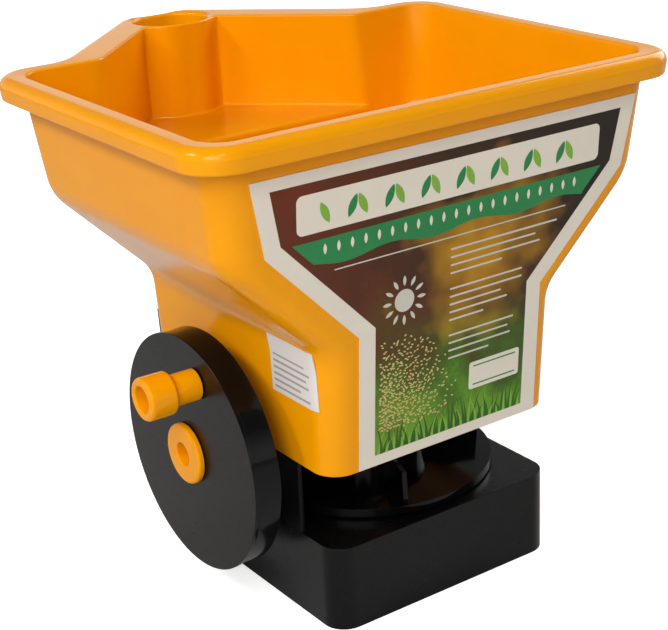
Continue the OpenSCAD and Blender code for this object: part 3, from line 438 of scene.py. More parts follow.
def rim_ring(z, inset):
    """A loop on the rim's outline, with the bay, moved in from its edge."""
    def back(x):
        side = smooth_max(np.full(x.shape, rim_d / 2 - inset), slant(x, inset), 9)
        return smooth_min(side, bay_end - inset, 4)
    return ring(z, rim_w / 2 - inset, rim_d / 2 - inset, rim_r - inset, back)


def outer_bay_ring(z, shrink=0.0):
    """A loop on the hopper's outside where the bay stands out behind it."""
    def back(x):
        reach = smooth_min(slant(x, bay_lip - wall + shrink), grip_y, 3)
        return smooth_max(np.full(x.shape, half_depth(z)), reach, 3)
    return body_ring(z, 0.0, back)


def inner_bay_ring(z, inset=wall, shrink=0.0, reach=999.0):
    """A loop on the hopper's inside, into the bay as far as a reach and round the front of the grip tube."""
    def back(x):
        plain = half_depth(z) - inset
        side = smooth_max(np.full(x.shape, plain), slant(x, bay_lip - wall + inset + shrink), 2.5)
        beside = np.clip(np.abs(x) - (grip_w - grip_d) / 2, 0, grip_d / 2)
        tube = grip_y - shrink - (inset - wall) - np.sqrt((grip_d / 2) ** 2 - beside ** 2)
        tube = np.where(np.abs(x) < grip_w / 2 - 0.05, tube, 999.0)
        return np.minimum(smooth_min(side, tube, 10), plain + reach)
    return body_ring(z, inset, back)


def arc(steps, first, last):
    """Sines and cosines of evenly spaced angles, in degrees, for the rounding of an edge."""
    return [(math.sin(math.radians(a)), math.cos(math.radians(a))) for a in np.linspace(first, last, steps)]


def skin(loops):
    """Points and faces of a closed skin over a row of loops, with flat ends."""
    count = len(loops[0])
    points = [p for loop in loops for p in loop]
    faces = [list(range(count))[::-1], [(len(loops) - 1) * count + i for i in range(count)]]
    for k in range(len(loops) - 1):
        for i in range(count):
            j = (i + 1) % count
            faces.append([k * count + i, k * count + j, (k + 1) * count + j, (k + 1) * count + i])
    return points, faces


def mesh_piece(name, points, faces, inks=None):
    """A linked object from points in millimetres, with doubled points merged and faces turned outwards."""
    mesh = bpy.data.meshes.new(name)
    mesh.from_pydata([(x * mm, y * mm, z * mm) for x, y, z in points], [], faces)
    if inks:
        mesh.polygons.foreach_set("material_index", inks)
    work = bmesh.new()
    work.from_mesh(mesh)
    bmesh.ops.remove_doubles(work, verts=work.verts, dist=1e-6)
    bmesh.ops.dissolve_degenerate(work, edges=work.edges, dist=1e-6)
    bmesh.ops.recalc_face_normals(work, faces=work.faces)
    work.to_mesh(mesh)
    work.free()
    piece = bpy.data.objects.new(name, mesh)
    bpy.context.collection.objects.link(piece)
    return piece


def stadium_loop(z, w, d, y, steps=28):
    """A loop with two round ends along X, about x = 0."""
    r, reach = d / 2, (w - d) / 2
    right = [(reach + r * s, y - r * c, z) for s, c in arc(steps, 0, 180)]
    left = [(-reach - r * s, y + r * c, z) for s, c in arc(steps, 0, 180)]
    return right + left


def cut(piece, tool, operation):
    """Joins a tool solid to a piece, or takes it away, and removes the tool."""
    change = piece.modifiers.new("cut", "BOOLEAN")
    change.operation = operation
    change.solver = "EXACT"
    change.object = tool
    settle(piece)
    bpy.data.objects.remove(tool)


plate_under = rim_top - wall
skirt_end = rim_top - lip_h
bay_top = bay_floor + wall
rim_edge, rim_hollow, lip_edge, floor_edge, bay_fillet = 4.5, 2.2, 1.0, 1.6, 1.2
under_fillet, foot_edge, bay_edge, bowl_fillet = 1.2, 0.6, 1.5, 4
# The rim stands a little outside its sharp-edged CAD form, so that its rounded edge keeps the same outline
rim_swell, rim_crown = 0.5, 0.2
body_heights = sorted([72.0, 84.0, 100.0, 112.0, 140.0, 150.0] + [p[1] for p in side_profile(0.0)[1:-1]])
inner_heights = sorted([82.0, 90.0, 100.0, 112.0, 140.0, 150.0] + [p[1] for p in side_profile(wall)[1:-1]])
# From the floor's underside round the neck's lower edge, and up the outside
loops = [body_ring(floor_under, wall + under_fillet)]
loops += [body_ring(floor_under - under_fillet + under_fillet * c, wall + under_fillet - under_fillet * s)
          for s, c in arc(4, 15, 90)]
loops += [body_ring(neck_z + foot_edge, wall)]
loops += [body_ring(neck_z + foot_edge - foot_edge * s, wall - foot_edge + foot_edge * c)
          for s, c in arc(4, 20, 90)]
loops += [body_ring(neck_z + foot_edge - foot_edge * c, foot_edge - foot_edge * s) for s, c in arc(4, 0, 90)]
loops += [body_ring(z, 0.0) for z in body_heights if z < bay_floor - 3]
loops += [body_ring(bay_floor - 0.01, 0.0)]
# Round the bay's underside to the rim, and round the rim's turned-down lip
loops += [outer_bay_ring(bay_floor, bay_edge)]
loops += [outer_bay_ring(bay_floor + bay_edge - bay_edge * c, bay_edge - bay_edge * s)
          for s, c in arc(4, 20, 90)]
loops += [outer_bay_ring(z) for z in np.linspace(bay_floor + 8, plate_under - 0.02, 5)]
loops += [rim_ring(plate_under, wall + rim_hollow)]
loops += [rim_ring(plate_under - rim_hollow + rim_hollow * c, wall + rim_hollow - rim_hollow * s)
          for s, c in arc(6, 20, 90)]
loops += [rim_ring(skirt_end + wall / 2 - wall / 2 * s, wall / 2 + wall / 2 * c) for s, c in arc(9, 0, 180)]
loops += [rim_ring(rim_top + rim_crown - rim_edge + rim_edge * s, rim_edge - rim_edge * c - rim_swell)
          for s, c in arc(12, 0, 90)]
# Over the lip and down the inside, by the bay, to the floor
loops += [inner_bay_ring(rim_top - lip_edge + lip_edge * c, wall - lip_edge + lip_edge * s)
          for s, c in arc(6, 0, 90)]
loops += [inner_bay_ring(z) for z in np.linspace(rim_top - 8, bay_top + bay_fillet, 5)]
loops += [inner_bay_ring(bay_top + bay_fillet - bay_fillet * s, wall, bay_fillet - bay_fillet * c)
          for s, c in arc(5, 15, 90)]
loops += [inner_bay_ring(bay_top - floor_edge + floor_edge * c, wall, bay_fillet, floor_edge - floor_edge * s)
          for s, c in arc(6, 0, 80)]
loops += [body_ring(bay_top - floor_edge - 0.2, wall)]
loops += [body_ring(z, wall) for z in inner_heights[::-1] if z < bay_floor - 1]
loops += [body_ring(floor_top + bowl_fillet - bowl_fillet * s, wall + bowl_fillet - bowl_fillet * c)
          for s, c in arc(6, 0, 90)]
hopper = mesh_piece("hopper_moulding", *skin(loops))

# The grip is a column with a rounded foot, bored from above; its mouth is rounded
column_w, column_d, column_edge = grip_w - 0.2, grip_d - 0.2, 3
column = [stadium_loop(grip_bottom + column_edge - column_edge * s,
                       column_w - 2 * column_edge + 2 * column_edge * c,
                       column_d - 2 * column_edge + 2 * column_edge * c, grip_y) for s, c in arc(6, 90, 0)]
column += [stadium_loop(z, column_w, column_d, grip_y) for z in (120.0, 165.0, rim_top - 1.6)]
cut(hopper, mesh_piece("grip column", *skin(column)), "UNION")
bore_w, bore_d, mouth = grip_w - 2 * grip_wall, grip_d - 2 * grip_wall, 2.0
bore = [stadium_loop(grip_bottom + grip_wall, bore_w, bore_d, grip_y)]
bore += [stadium_loop(rim_top - mouth + mouth * c, bore_w + 2 * mouth * (1 - s),
                      bore_d + 2 * mouth * (1 - s), grip_y) for s, c in arc(7, 90, 0)]
bore += [stadium_loop(rim_top + 2, bore_w + 2 * mouth, bore_d + 2 * mouth, grip_y)]
cut(hopper, mesh_piece("grip bore", *skin(bore)), "DIFFERENCE")

# The outlet and the bush's hole go through the floor, and the shutter's notch through the back wall below it
through_floor = (floor_under - 2, floor_top + 2)
outlet_behind, bush_r = 23.0, 5.02
outlet = [ring(z, 14.0, 9.0, 1.5) for z in through_floor]
outlet = [[(x + shaft_x, y + shaft_y + outlet_behind, z) for x, y, z in loop] for loop in outlet]
cut(hopper, mesh_piece("outlet", *skin(outlet)), "DIFFERENCE")
bush_hole = [[(shaft_x + bush_r * s, shaft_y + bush_r * c, z) for s, c in arc(33, 0, 360)[:-1]]
             for z in through_floor]
cut(hopper, mesh_piece("bush hole", *skin(bush_hole)), "DIFFERENCE")
notch_x, notch_front, notch_back, notch_h = 18.3, 60.0, 72.0, 4.3
notch_edge = ((-notch_x, notch_front), (notch_x, notch_front), (notch_x, notch_back), (-notch_x, notch_back))
notch = [[(shaft_x + x, y, z) for x, y in notch_edge] for z in (floor_under - notch_h, floor_under)]
cut(hopper, mesh_piece("shutter notch", *skin(notch)), "DIFFERENCE")
# Orange polypropylene: a full warm colour with a soft gloss, which glows where its walls face each other
orange_pp = moulded_plastic("orange polypropylene, moulded", ("#f79f02", "#fba402"), 0.15, 0.17, 1.2)
dress(hopper, orange_pp, "stand", "hopper")

# Flow regulator: a flat black ABS slide in two rails under the hopper's floor, pulled by its ribbed tab.
# The rails are screwed up into the floor.
dress(softened_copy("shutter_rails", "shutter_guide", 0.3, 2), black_abs,
      "stand", "shutter_guide")
dress(softened_copy("flow_shutter_slide", "flow_shutter", 0.35, 2), black_abs,
      "shutter", "flow_shutter")
low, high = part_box("guide_screws")
guide_head, screw_head_r = 1.4, 3
guide_under = low.z * 1000 + guide_head
guide_length = high.z * 1000 - guide_under
guide_places = [(x, y, guide_under) for x in (low.x * 1000 + screw_head_r, high.x * 1000 - screw_head_r)
                for y in (low.y * 1000 + screw_head_r, high.y * 1000 - screw_head_r)]
dress(screw_set("guide_screw_set", guide_places, (0, 0, 0), guide_length, head_t=guide_head), None,
      "stand", "guide_screws")

# Hopper screws: two of the same zinc-plated steel screws, cold headed and thread rolled.
# They go through the frame's back wall into the hopper and hold the two together.
low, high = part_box("hopper_screws")
back_face = high.y * 1000 - 2.0
hopper_places = [(x, back_face, (low.z + high.z) * 500)
                 for x in (low.x * 1000 + screw_head_r, high.x * 1000 - screw_head_r)]
dress(screw_set("hopper_screw_set", hopper_places, (90, 0, 0), back_face - low.y * 1000), None,
      "stand", "hopper_screws")

# Front label: one printed polypropylene film, cut to the front wall's outline and stuck on.
# It has a cream border round a blurred garden, a cream panel over a green band, and pale bars, a sun,
# grass and seeds, each laid on as its own layer of ink.
label_shift, film_back, film_front, ink_step = 2.0, 0.05, 0.35, 0.03
front_lean = math.atan2((bowl_d - neck_d) / 2, rim_top - neck_z)
neck_half, knee_half, top_half = 44.8, 85.25, 90.85
film_low, film_foot, film_knee, film_top = 0.6, 57.8, 99.2, 128.3
film_edge = [(-neck_half, film_low), (neck_half, film_low), (neck_half, film_foot), (knee_half, film_knee),
             (top_half, film_top), (-top_half, film_top), (-knee_half, film_knee), (-neck_half, film_foot)]


def front_point(x, up, out):
    """A point on the leaning front wall: across, up along the wall, and out from it."""
    return (x + label_shift,
            -half_depth(neck_z) - up * math.sin(front_lean) - out * math.cos(front_lean),
            neck_z + up * math.cos(front_lean) - out * math.sin(front_lean))


def inset_edge(edge, widths):
    """An outline with each of its sides moved in by its own width."""
    moved = []
    for i, here in enumerate(edge):
        before, after = np.subtract(here, edge[i - 1]), np.subtract(edge[(i + 1) % len(edge)], here)
        sides = [np.array((-d[1], d[0])) / np.linalg.norm(d) for d in (before, after)]
        reach = [sides[0] @ here + widths[i - 1], sides[1] @ here + widths[i]]
        moved.append(tuple(np.linalg.solve(np.array(sides), reach)))
    return moved


print_points, print_faces, print_inks = [], [], []


def lay_ink(edge, layer, ink):
    """Adds one printed area to the label as a thin closed slab."""
    first, count = len(print_points), len(edge)
    out = film_front + layer * ink_step
    print_points.extend(front_point(x, up, film_back if layer == 0 else film_back + 0.1) for x, up in edge)
    print_points.extend(front_point(x, up, out) for x, up in edge)
    print_faces.append([first + i for i in range(count)])
    print_faces.append([first + count + i for i in range(count)][::-1])
    for i in range(count):
        j = (i + 1) % count
        print_faces.append([first + i, first + count + i, first + count + j, first + j])
    print_inks.extend([ink] * (count + 2))


def pill(left, right, low, high, radius):
    """A rounded rectangle."""
    corners = ((right, low, 270), (right, high, 0), (left, high, 90), (left, low, 180))
    edge = []
    for x, y, start in corners:
        cx = x - radius if x == right else x + radius
        cy = y - radius if y == high else y + radius
        edge += [(cx + radius * c, cy + radius * s) for s, c in arc(6, start, start + 90)]
    return edge


def leaf(x, up, length, width, turn):
    """A pointed oval from its stalk end, turned by an angle from straight up."""
    half = [(width / 2 * math.sin(math.pi * t) ** 0.8, length * t) for t in np.linspace(0, 1, 11)]
    edge = half + [(-a, b) for a, b in half[-2:0:-1]]
    s, c = math.sin(math.radians(turn)), math.cos(math.radians(turn))
    return [(x + a * c + b * s, up + b * c - a * s) for a, b in edge]


def blade(x, up, height, width, sway):
    """A grass blade that bends over to one side."""
    rows = np.linspace(0, 1, 8)
    right = [(x + sway * t * t + width / 2 * (1 - t), up + height * t) for t in rows]
    left = [(x + sway * t * t - width / 2 * (1 - t), up + height * t) for t in rows[-2::-1]]
    return right + left


cream, field, band, shade, fresh, pale = range(6)
garden_edge = inset_edge(film_edge, [4.6, 7.4, 7.0, 7.0, 4.6, 7.0, 7.0, 7.4])
lay_ink(film_edge, 0, cream)
lay_ink(garden_edge, 1, field)
# A cream panel with a row of leaves that lean to and fro
panel_half, panel_low, panel_high, panel_corner = 72, 104.5, 119.5, 2.5
leaf_count, leaf_foot, leaf_lean = 15, 107.2, 24
lay_ink(pill(-panel_half, panel_half, panel_low, panel_high, panel_corner), 2, cream)
# A green band below it with a wavy lower edge and a row of small cream leaves
band_low, band_high, band_low_half, band_high_half = 92.6, 101.6, 65.0, 74.0
wave = [(x, 92.0 + 1.3 * math.sin(x / 6.5)) for x in np.linspace(64.5, -64.5, 60)]
band_edge = [(-band_high_half, band_high), (-band_low_half, band_low)] + wave[::-1]
band_edge += [(band_low_half, band_low), (band_high_half, band_high)]
lay_ink(band_edge, 2, band)
for step in range(leaf_count):
    x = -58.0 + 116.0 / (leaf_count - 1) * step
    lean = leaf_lean if step % 2 else -leaf_lean
    lay_ink(leaf(x, leaf_foot, 9.2, 3.4, lean), 3, band if step % 2 else fresh)
for step in range(21):
    lay_ink(leaf(-60.0 + 6.0 * step, 95.4, 4.2, 1.5, 0), 3, cream)
# A thin rule, and paragraphs of pale bars that end inside the field's right side; a share of 0 is a gap
lay_ink(pill(-56, 56, 88.2, 88.7, 0.2), 2, pale)
bar_left, bar_top, bar_step, bar_t, bar_margin = -2.0, 83.0, 3.3, 0.8, 5.0
right_side = garden_edge[1:5]
for row, share in enumerate((0.95, 0.8, 0.9, 0.55, 0, 0.9, 0.98, 0.75, 0.85, 0.5, 0, 0.96, 0.88, 0.92, 0.6)):
    if share:
        up = bar_top - bar_step * row
        room = np.interp(up, [p[1] for p in right_side], [p[0] for p in right_side]) - bar_margin
        lay_ink(pill(bar_left, bar_left + share * (room - bar_left), up, up + bar_t, 0.35), 2, pale)
# A plain sun with twelve leaf-shaped rays
sun_x, sun_up, sun_r, ray_foot = -24.0, 68.0, 4.6, 6.0
lay_ink([(sun_x + sun_r * c, sun_up + sun_r * s) for s, c in arc(41, 0, 360)[:-1]], 2, pale)
for turn in range(0, 360, 30):
    s, c = math.sin(math.radians(turn)), math.cos(math.radians(turn))
    lay_ink(leaf(sun_x + ray_foot * s, sun_up + ray_foot * c, 4.2, 1.5, turn), 2, pale)
# Grass along the foot, whose tips stay inside the field
blade_count, grass_half, tip_half, grass_foot, blade_w = 58, 35.5, 36.8, 5.2, 1.5
chance = np.random.default_rng(7)
for step in range(blade_count):
    x = -grass_half + 2 * grass_half / (blade_count - 1) * step
    tall = chance.uniform(6, 15)
    sway = float(np.clip(chance.uniform(-5, 5), -tip_half - x, tip_half - x))
    lay_ink(blade(x, grass_foot, tall, blade_w, sway), 2 + step % 2, shade if step % 3 else fresh)
# A cream plate with a green rule above and below
plate_left, plate_right, plate_low, plate_high = 9, 35, 20, 32
lay_ink(pill(plate_left, plate_right, plate_low, plate_high, 1.2), 4, cream)
for rule_low, rule_high in ((21.6, 22.2), (29.8, 30.4)):
    lay_ink(pill(plate_left + 2, plate_right - 2, rule_low, rule_high, 0.25), 5, band)
front_label = mesh_piece("front_label_film", print_points, print_faces, print_inks)


def printed_film(name, shades):
    """Ink on a coated film: an even colour with the faint speckle of the print under a soft gloss."""
    material, tree = empty_material(name)
    place = add_node(tree, "ShaderNodeTexCoord").outputs["Object"]
    # Print dots are about 0.1 mm; they are drawn at 0.5 mm so that they show, over clouds some 30 mm wide
    dots = add_node(tree, "ShaderNodeTexVoronoi", {"Vector": place, "Scale": 1000 / 0.5})
    cloud = add_node(tree, "ShaderNodeTexNoise", {"Vector": place, "Scale": 1000 / 30, "Detail": 4.0})
    speckle = add_node(tree, "ShaderNodeMath",
                       {0: dots.outputs["Distance"], 1: 0.35, 2: cloud.outputs["Fac"]},
                       operation="MULTIPLY_ADD")
    tint = add_node(tree, "ShaderNodeValToRGB", {"Fac": speckle.outputs[0]},
                    [(0.4, shades[0]), (0.85, shades[1])])
    dull = add_node(tree, "ShaderNodeMapRange", {"Value": cloud.outputs["Fac"], "To Min": 0.3,
                                                 "To Max": 0.44})
    shader = add_node(tree, "ShaderNodeBsdfPrincipled",
                      {"Base Color": tint.outputs["Color"], "Roughness": dull.outputs["Result"],
                       "IOR": 1.49, "Specular IOR Level": 0.2})
    add_node(tree, "ShaderNodeOutputMaterial", {"Surface": shader.outputs["BSDF"]})
    return material


# Coated film, printed: flat quiet colours. The garden is a picture far out of focus, brown over green.
garden, tree = empty_material("coated film, printed blurred garden")
place = add_node(tree, "ShaderNodeTexCoord").outputs["Object"]
axes = add_node(tree, "ShaderNodeSeparateXYZ", {0: place}).outputs
# Blurs are some 16 mm wide, and leaves in the lower part some 2 mm
blur = add_node(tree, "ShaderNodeTexNoise",
                {"Vector": place, "Scale": 1000 / 16, "Detail": 1.5}).outputs["Fac"]
leaves = add_node(tree, "ShaderNodeTexNoise",
                  {"Vector": place, "Scale": 1000 / 2, "Detail": 3.0}).outputs["Fac"]
height = add_node(tree, "ShaderNodeMapRange",
                  {"Value": axes["Z"], "From Min": 0.072, "From Max": 0.194}).outputs["Result"]
height = add_node(tree, "ShaderNodeMath", {0: blur, 1: 0.5, 2: height}, operation="MULTIPLY_ADD").outputs[0]
height = add_node(tree, "ShaderNodeMath", {0: leaves, 1: 0.16, 2: height},
                  operation="MULTIPLY_ADD").outputs[0]
# Grass at the foot turns to olive and brown above
ground = add_node(tree, "ShaderNodeValToRGB", {"Fac": height},
                  [(0.36, "#6ea32c"), (0.52, "#4b7420"), (0.68, "#4d4a1b"), (0.86, "#5a3418"),
                   (1.0, "#3a2818")])
# The right side is nearly black, the left a reddish brown, and the middle has a golden glow
night = add_node(tree, "ShaderNodeMapRange",
                 {"Value": axes["X"], "From Min": 0.01, "From Max": 0.08}).outputs["Result"]
night = add_node(tree, "ShaderNodeMath", {0: night, 1: blur}, operation="MULTIPLY").outputs[0]
night = add_node(tree, "ShaderNodeMath", {0: night, 1: 1.5}, operation="MULTIPLY", use_clamp=True).outputs[0]
darker = add_node(tree, "ShaderNodeMixRGB", {"Fac": night, "Color1": ground.outputs["Color"],
                                             "Color2": linear("#1b1a1a")}).outputs["Color"]
ember = add_node(tree, "ShaderNodeMapRange", {"Value": axes["X"], "From Min": -0.07, "From Max": 0.0,
                                              "To Min": 0.75, "To Max": 0.0}).outputs["Result"]
ember = add_node(tree, "ShaderNodeMath", {0: ember, 1: height}, operation="MULTIPLY",
                 use_clamp=True).outputs[0]
warmer = add_node(tree, "ShaderNodeMixRGB", {"Fac": ember, "Color1": darker,
                                             "Color2": linear("#6b3018")}).outputs["Color"]
centre = add_node(tree, "ShaderNodeMapping", {"Vector": place, "Location": (-0.3, 0.0, -3.55),
                                              "Scale": (20.0, 0.0, 24.0)}).outputs["Vector"]
glow = add_node(tree, "ShaderNodeVectorMath", {0: centre}, operation="LENGTH").outputs["Value"]
glow = add_node(tree, "ShaderNodeMath", {0: blur, 1: 1.4, 2: glow}, operation="MULTIPLY_ADD").outputs[0]
glow = add_node(tree, "ShaderNodeMapRange", {"Value": glow, "From Min": 0.75, "From Max": 1.5, "To Min": 0.9,
                                             "To Max": 0.0}).outputs["Result"]
picture = add_node(tree, "ShaderNodeMixRGB", {"Fac": glow, "Color1": warmer,
                                              "Color2": linear("#c48d1c")}).outputs["Color"]
shader = add_node(tree, "ShaderNodeBsdfPrincipled", {"Base Color": picture, "Roughness": 0.34, "IOR": 1.49,
                                                     "Specular IOR Level": 0.2})
add_node(tree, "ShaderNodeOutputMaterial", {"Surface": shader.outputs["BSDF"]})
cream_film = printed_film("coated film, printed cream", ("#e6dccb", "#ebe2d3"))
straw_film = printed_film("coated film, printed straw", ("#c9ad66", "#dcc688"))
for ink in (cream_film, garden, printed_film("coated film, printed leaf green", ("#2c7f47", "#338a50")),
            printed_film("coated film, printed dark green", ("#2c5a17", "#3a6b1d")),
            printed_film("coated film, printed fresh green", ("#79a83a", "#8aba48")),
            printed_film("coated film, printed pale grey", ("#c9c4b6", "#d6d1c4"))):
    front_label.data.materials.append(ink)
dress(front_label, None, "stand", "front_label")

# Printed seeds: a spray of straw-coloured seeds across the lower left of the label, thinner further out.
# They are ink on the same film, laid over the garden a little proud of it.
seed_tree = bpy.data.node_groups.new("seed_spray", "GeometryNodeTree")
seed_tree.interface.new_socket("Ground", in_out="INPUT", socket_type="NodeSocketGeometry")
for size in ("Seeds per square metre", "Reach", "Seed length", "Seed width", "Seed thickness"):
    seed_tree.interface.new_socket(size, in_out="INPUT", socket_type="NodeSocketFloat")
seed_tree.interface.new_socket("Source", in_out="INPUT", socket_type="NodeSocketVector")
seed_tree.interface.new_socket("Scatter", in_out="INPUT", socket_type="NodeSocketInt")
seed_tree.interface.new_socket("Ink", in_out="INPUT", socket_type="NodeSocketMaterial")
seed_tree.interface.new_socket("Spray", in_out="OUTPUT", socket_type="NodeSocketGeometry")
given = add_node(seed_tree, "NodeGroupInput").outputs
sheet = add_node(seed_tree, "GeometryNodeSubdivideMesh", {"Mesh": given["Ground"], "Level": 4}).outputs[0]
where = add_node(seed_tree, "GeometryNodeInputPosition").outputs[0]
thrown = add_node(seed_tree, "ShaderNodeVectorMath", {0: where, 1: given["Source"]},
                  operation="DISTANCE").outputs["Value"]
thinner = add_node(seed_tree, "ShaderNodeMapRange", {"Value": thrown, "From Max": given["Reach"],
                                                     "To Min": given["Seeds per square metre"],
                                                     "To Max": 0.0}).outputs["Result"]
spots = add_node(seed_tree, "GeometryNodeDistributePointsOnFaces",
                 {"Mesh": sheet, "Density": thinner, "Seed": given["Scatter"]}).outputs
seed = add_node(seed_tree, "GeometryNodeMeshIcoSphere", {"Radius": 0.5, "Subdivisions": 1}).outputs["Mesh"]
size = add_node(seed_tree, "ShaderNodeCombineXYZ", {"X": given["Seed length"], "Y": given["Seed width"],
                                                    "Z": given["Seed thickness"]}).outputs[0]
seed = add_node(seed_tree, "GeometryNodeTransform", {"Geometry": seed, "Scale": size}).outputs[0]
spin = add_node(seed_tree, "FunctionNodeRandomValue", {"Min": (0, 0, -0.9), "Max": (0, 0, 0.9),
                                                       "Seed": given["Scatter"]},
                data_type="FLOAT_VECTOR").outputs[0]
spin = add_node(seed_tree, "FunctionNodeEulerToRotation", {"Euler": spin}).outputs[0]
spin = add_node(seed_tree, "FunctionNodeRotateRotation", {"Rotation": spots["Rotation"], "Rotate By": spin},
                rotation_space="LOCAL").outputs[0]
placed = add_node(seed_tree, "GeometryNodeInstanceOnPoints", {"Points": spots["Points"], "Instance": seed,
                                                              "Rotation": spin}).outputs[0]
whole = add_node(seed_tree, "GeometryNodeRealizeInstances", {"Geometry": placed}).outputs[0]
inked = add_node(seed_tree, "GeometryNodeSetMaterial", {"Geometry": whole,
                                                        "Material": given["Ink"]}).outputs[0]
add_node(seed_tree, "NodeGroupOutput", {"Spray": inked})
seed_layer = film_front + 2 * ink_step
spray_edge = [(-35.5, 14.0), (6.0, 14.0), (6.0, 54.0), (-35.5, 54.0)]
ground_points = [front_point(x, up, seed_layer) for x, up in spray_edge]
label_seeds = mesh_piece("front_label_seeds", ground_points, [list(range(len(spray_edge)))[::-1]])
spray_source = Vector(front_point(-34.0, 24.0, seed_layer)) / 1000
grow(label_seeds, seed_tree, {"Seeds per square metre": 900000.0, "Reach": 0.036, "Seed length": 0.0014,
                              "Seed width": 0.0007, "Seed thickness": 0.00006, "Source": spray_source,
                              "Scatter": 5, "Ink": straw_film})
dress(label_seeds, None, "stand", None)

# Side sticker: a small white vinyl film on the neck's left wall, which runs a little way round its corner.
# It carries rows of plain grey bars.
sticker_back, sticker_front, sticker_low, sticker_high = -31.2, -61.9, 96.4, 120.9
print_points, print_faces, print_inks = [], [], []


def neck_point(y, z, out):
    """A point on the neck's left wall, or past its front corner, out from the surface."""
    radius, half_x = corner_radius(z), half_width(z, 0.0)
    start = -(half_depth(z) - radius)
    if y > start:
        return (-half_x - out, y, z)
    turn = (start - y) / radius
    return (-half_x + radius - (radius + out) * math.cos(turn), start - (radius + out) * math.sin(turn), z)


def lay_patch(back, front, low, high, inner, outer, ink):
    """Adds one thin closed patch on the neck's left wall to the sticker."""
    columns, rows = 25, 4
    first = len(print_points)
    grid = [(y, z) for z in np.linspace(low, high, rows) for y in np.linspace(back, front, columns)]
    size = len(grid)
    print_points.extend(neck_point(y, z, inner) for y, z in grid)
    print_points.extend(neck_point(y, z, outer) for y, z in grid)
    rim = list(range(columns)) + [columns * r + columns - 1 for r in range(1, rows)]
    rim += [columns * (rows - 1) + c for c in range(columns - 2, -1, -1)]
    rim += [columns * r for r in range(rows - 2, 0, -1)]
    faces = []
    for r in range(rows - 1):
        for c in range(columns - 1):
            a = first + columns * r + c
            quad = [a, a + 1, a + columns + 1, a + columns]
            faces += [quad, [v + size for v in quad[::-1]]]
    for a, b in zip(rim, rim[1:] + rim[:1]):
        faces.append([first + a, first + b, first + b + size, first + a + size])
    print_faces.extend(faces)
    print_inks.extend([ink] * len(faces))


vinyl, bar_ink = 0, 1
lay_patch(sticker_back, sticker_front, sticker_low, sticker_high, 0.08, 0.38, vinyl)
line_back, line_room, line_top, line_step, line_half = sticker_back - 2.0, 26.0, sticker_high - 2.8, 2.75, 0.5
for row, share in enumerate((0.66, 0.9, 0.82, 0.95, 0.86, 0.92, 0.7, 0.94)):
    line_z = line_top - line_step * row
    line_front = line_back - line_room * share
    lay_patch(line_back, line_front, line_z - line_half, line_z + line_half, 0.3, 0.41, bar_ink)
side_sticker = mesh_piece("side_sticker_film", print_points, print_faces, print_inks)
side_sticker.data.materials.append(printed_film("vinyl film, white", ("#dfd9d4", "#e6e1dc")))
side_sticker.data.materials.append(printed_film("vinyl film, printed grey", ("#9d9895", "#aaa5a2")))
dress(side_sticker, None, "stand", "side_sticker")

# Hub pin: an orange polypropylene pin with a rounded flat head, pushed through the wheel into the frame.
# The axle screw in its hole draws it tight.
wheel_y, wheel_z = 0.0, 64.3


def turned(profile, y, z, steps=96):
    """Points and faces of a closed lathe shape about an axis along X; the profile is (x, radius) pairs."""
    points, faces, rows = [], [], []
    for x, r in profile:
        if r == 0:
            rows.append([len(points)] * steps)
            points.append((x, y, z))
            continue
        rows.append(list(range(len(points), len(points) + steps)))
        points += [(x, y + r * s, z + r * c) for s, c in arc(steps + 1, 0, 360)[:-1]]
    for a, b in zip(rows, rows[1:]):
        for i in range(steps):
            j = (i + 1) % steps
            corner = list(dict.fromkeys([a[i], a[j], b[j], b[i]]))
            if len(corner) > 2:
                faces.append(corner)
    return points, faces


head_x, head_r, head_t, hole_r, pin_r, pin_end = -80.6, 12.9, 2.9, 4.9, 7.0, -61.7
pin_floor, face_x = pin_end - 3.6, head_x - head_t
pin_profile = [(pin_floor, 0.0), (pin_floor, hole_r), (face_x + 0.8, hole_r)]
pin_profile += bend((head_x, hole_r), (face_x, hole_r), (face_x, head_r), 0.7, 5)
pin_profile += bend((face_x, hole_r), (face_x, head_r), (head_x, head_r), 1.7, 8)
pin_profile += bend((face_x, head_r), (head_x, head_r), (head_x, pin_r), 0.4, 3)
pin_profile += [(head_x, pin_r), (pin_end, pin_r), (pin_end, 0.0)]
dress(mesh_piece("hub_pin_moulding", *turned(pin_profile, wheel_y, wheel_z)), orange_pp,
      "stand", "hub_pin")
axle_head_r, axle_head_t, axle_shank_r = 4.3, 2.4, 1.75
axle_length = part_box("axle_screw")[1].x * 1000 - pin_floor
dress(screw_set("axle_screw_steel", [(pin_floor, wheel_y, wheel_z)], (0, 90, 0), axle_length,
                axle_head_r, axle_head_t, axle_shank_r), None, "stand", "axle_screw")

# Crank wheel: a black ABS disc with a deep skirt that widens backwards, and a thin flange round its face.
# It turns on the hub pin; the ring gear is pressed into its skirt, and a peg stands out for the knob.
wheel_face, wheel_back = -80.3, -68.0
flange_r, flange_t, skirt_front, skirt_back, skirt_in = 50.4, 2.0, 49.6, 50.2, 46.8
hub_boss, bore_r, disc_t, flange_edge, skirt_edge = 10.0, 7.06, 3.0, 0.25, 0.6
disc_back, flange_x = wheel_face + disc_t, wheel_face + flange_t
wheel_profile = [(wheel_face, bore_r)]
wheel_profile += bend((wheel_face, bore_r), (wheel_face, flange_r), (flange_x, flange_r), flange_edge, 4)
wheel_profile += bend((wheel_face, flange_r), (flange_x, flange_r), (flange_x, skirt_front), flange_edge, 3)
wheel_profile += [(flange_x, skirt_front + 0.1), (flange_x + 0.2, skirt_front)]
skirt_outside, skirt_inside = (wheel_back, skirt_back), (wheel_back, skirt_in)
wheel_profile += bend((flange_x, skirt_front), skirt_outside, skirt_inside, skirt_edge, 5)
wheel_profile += bend(skirt_outside, skirt_inside, (disc_back, skirt_in), skirt_edge, 5)
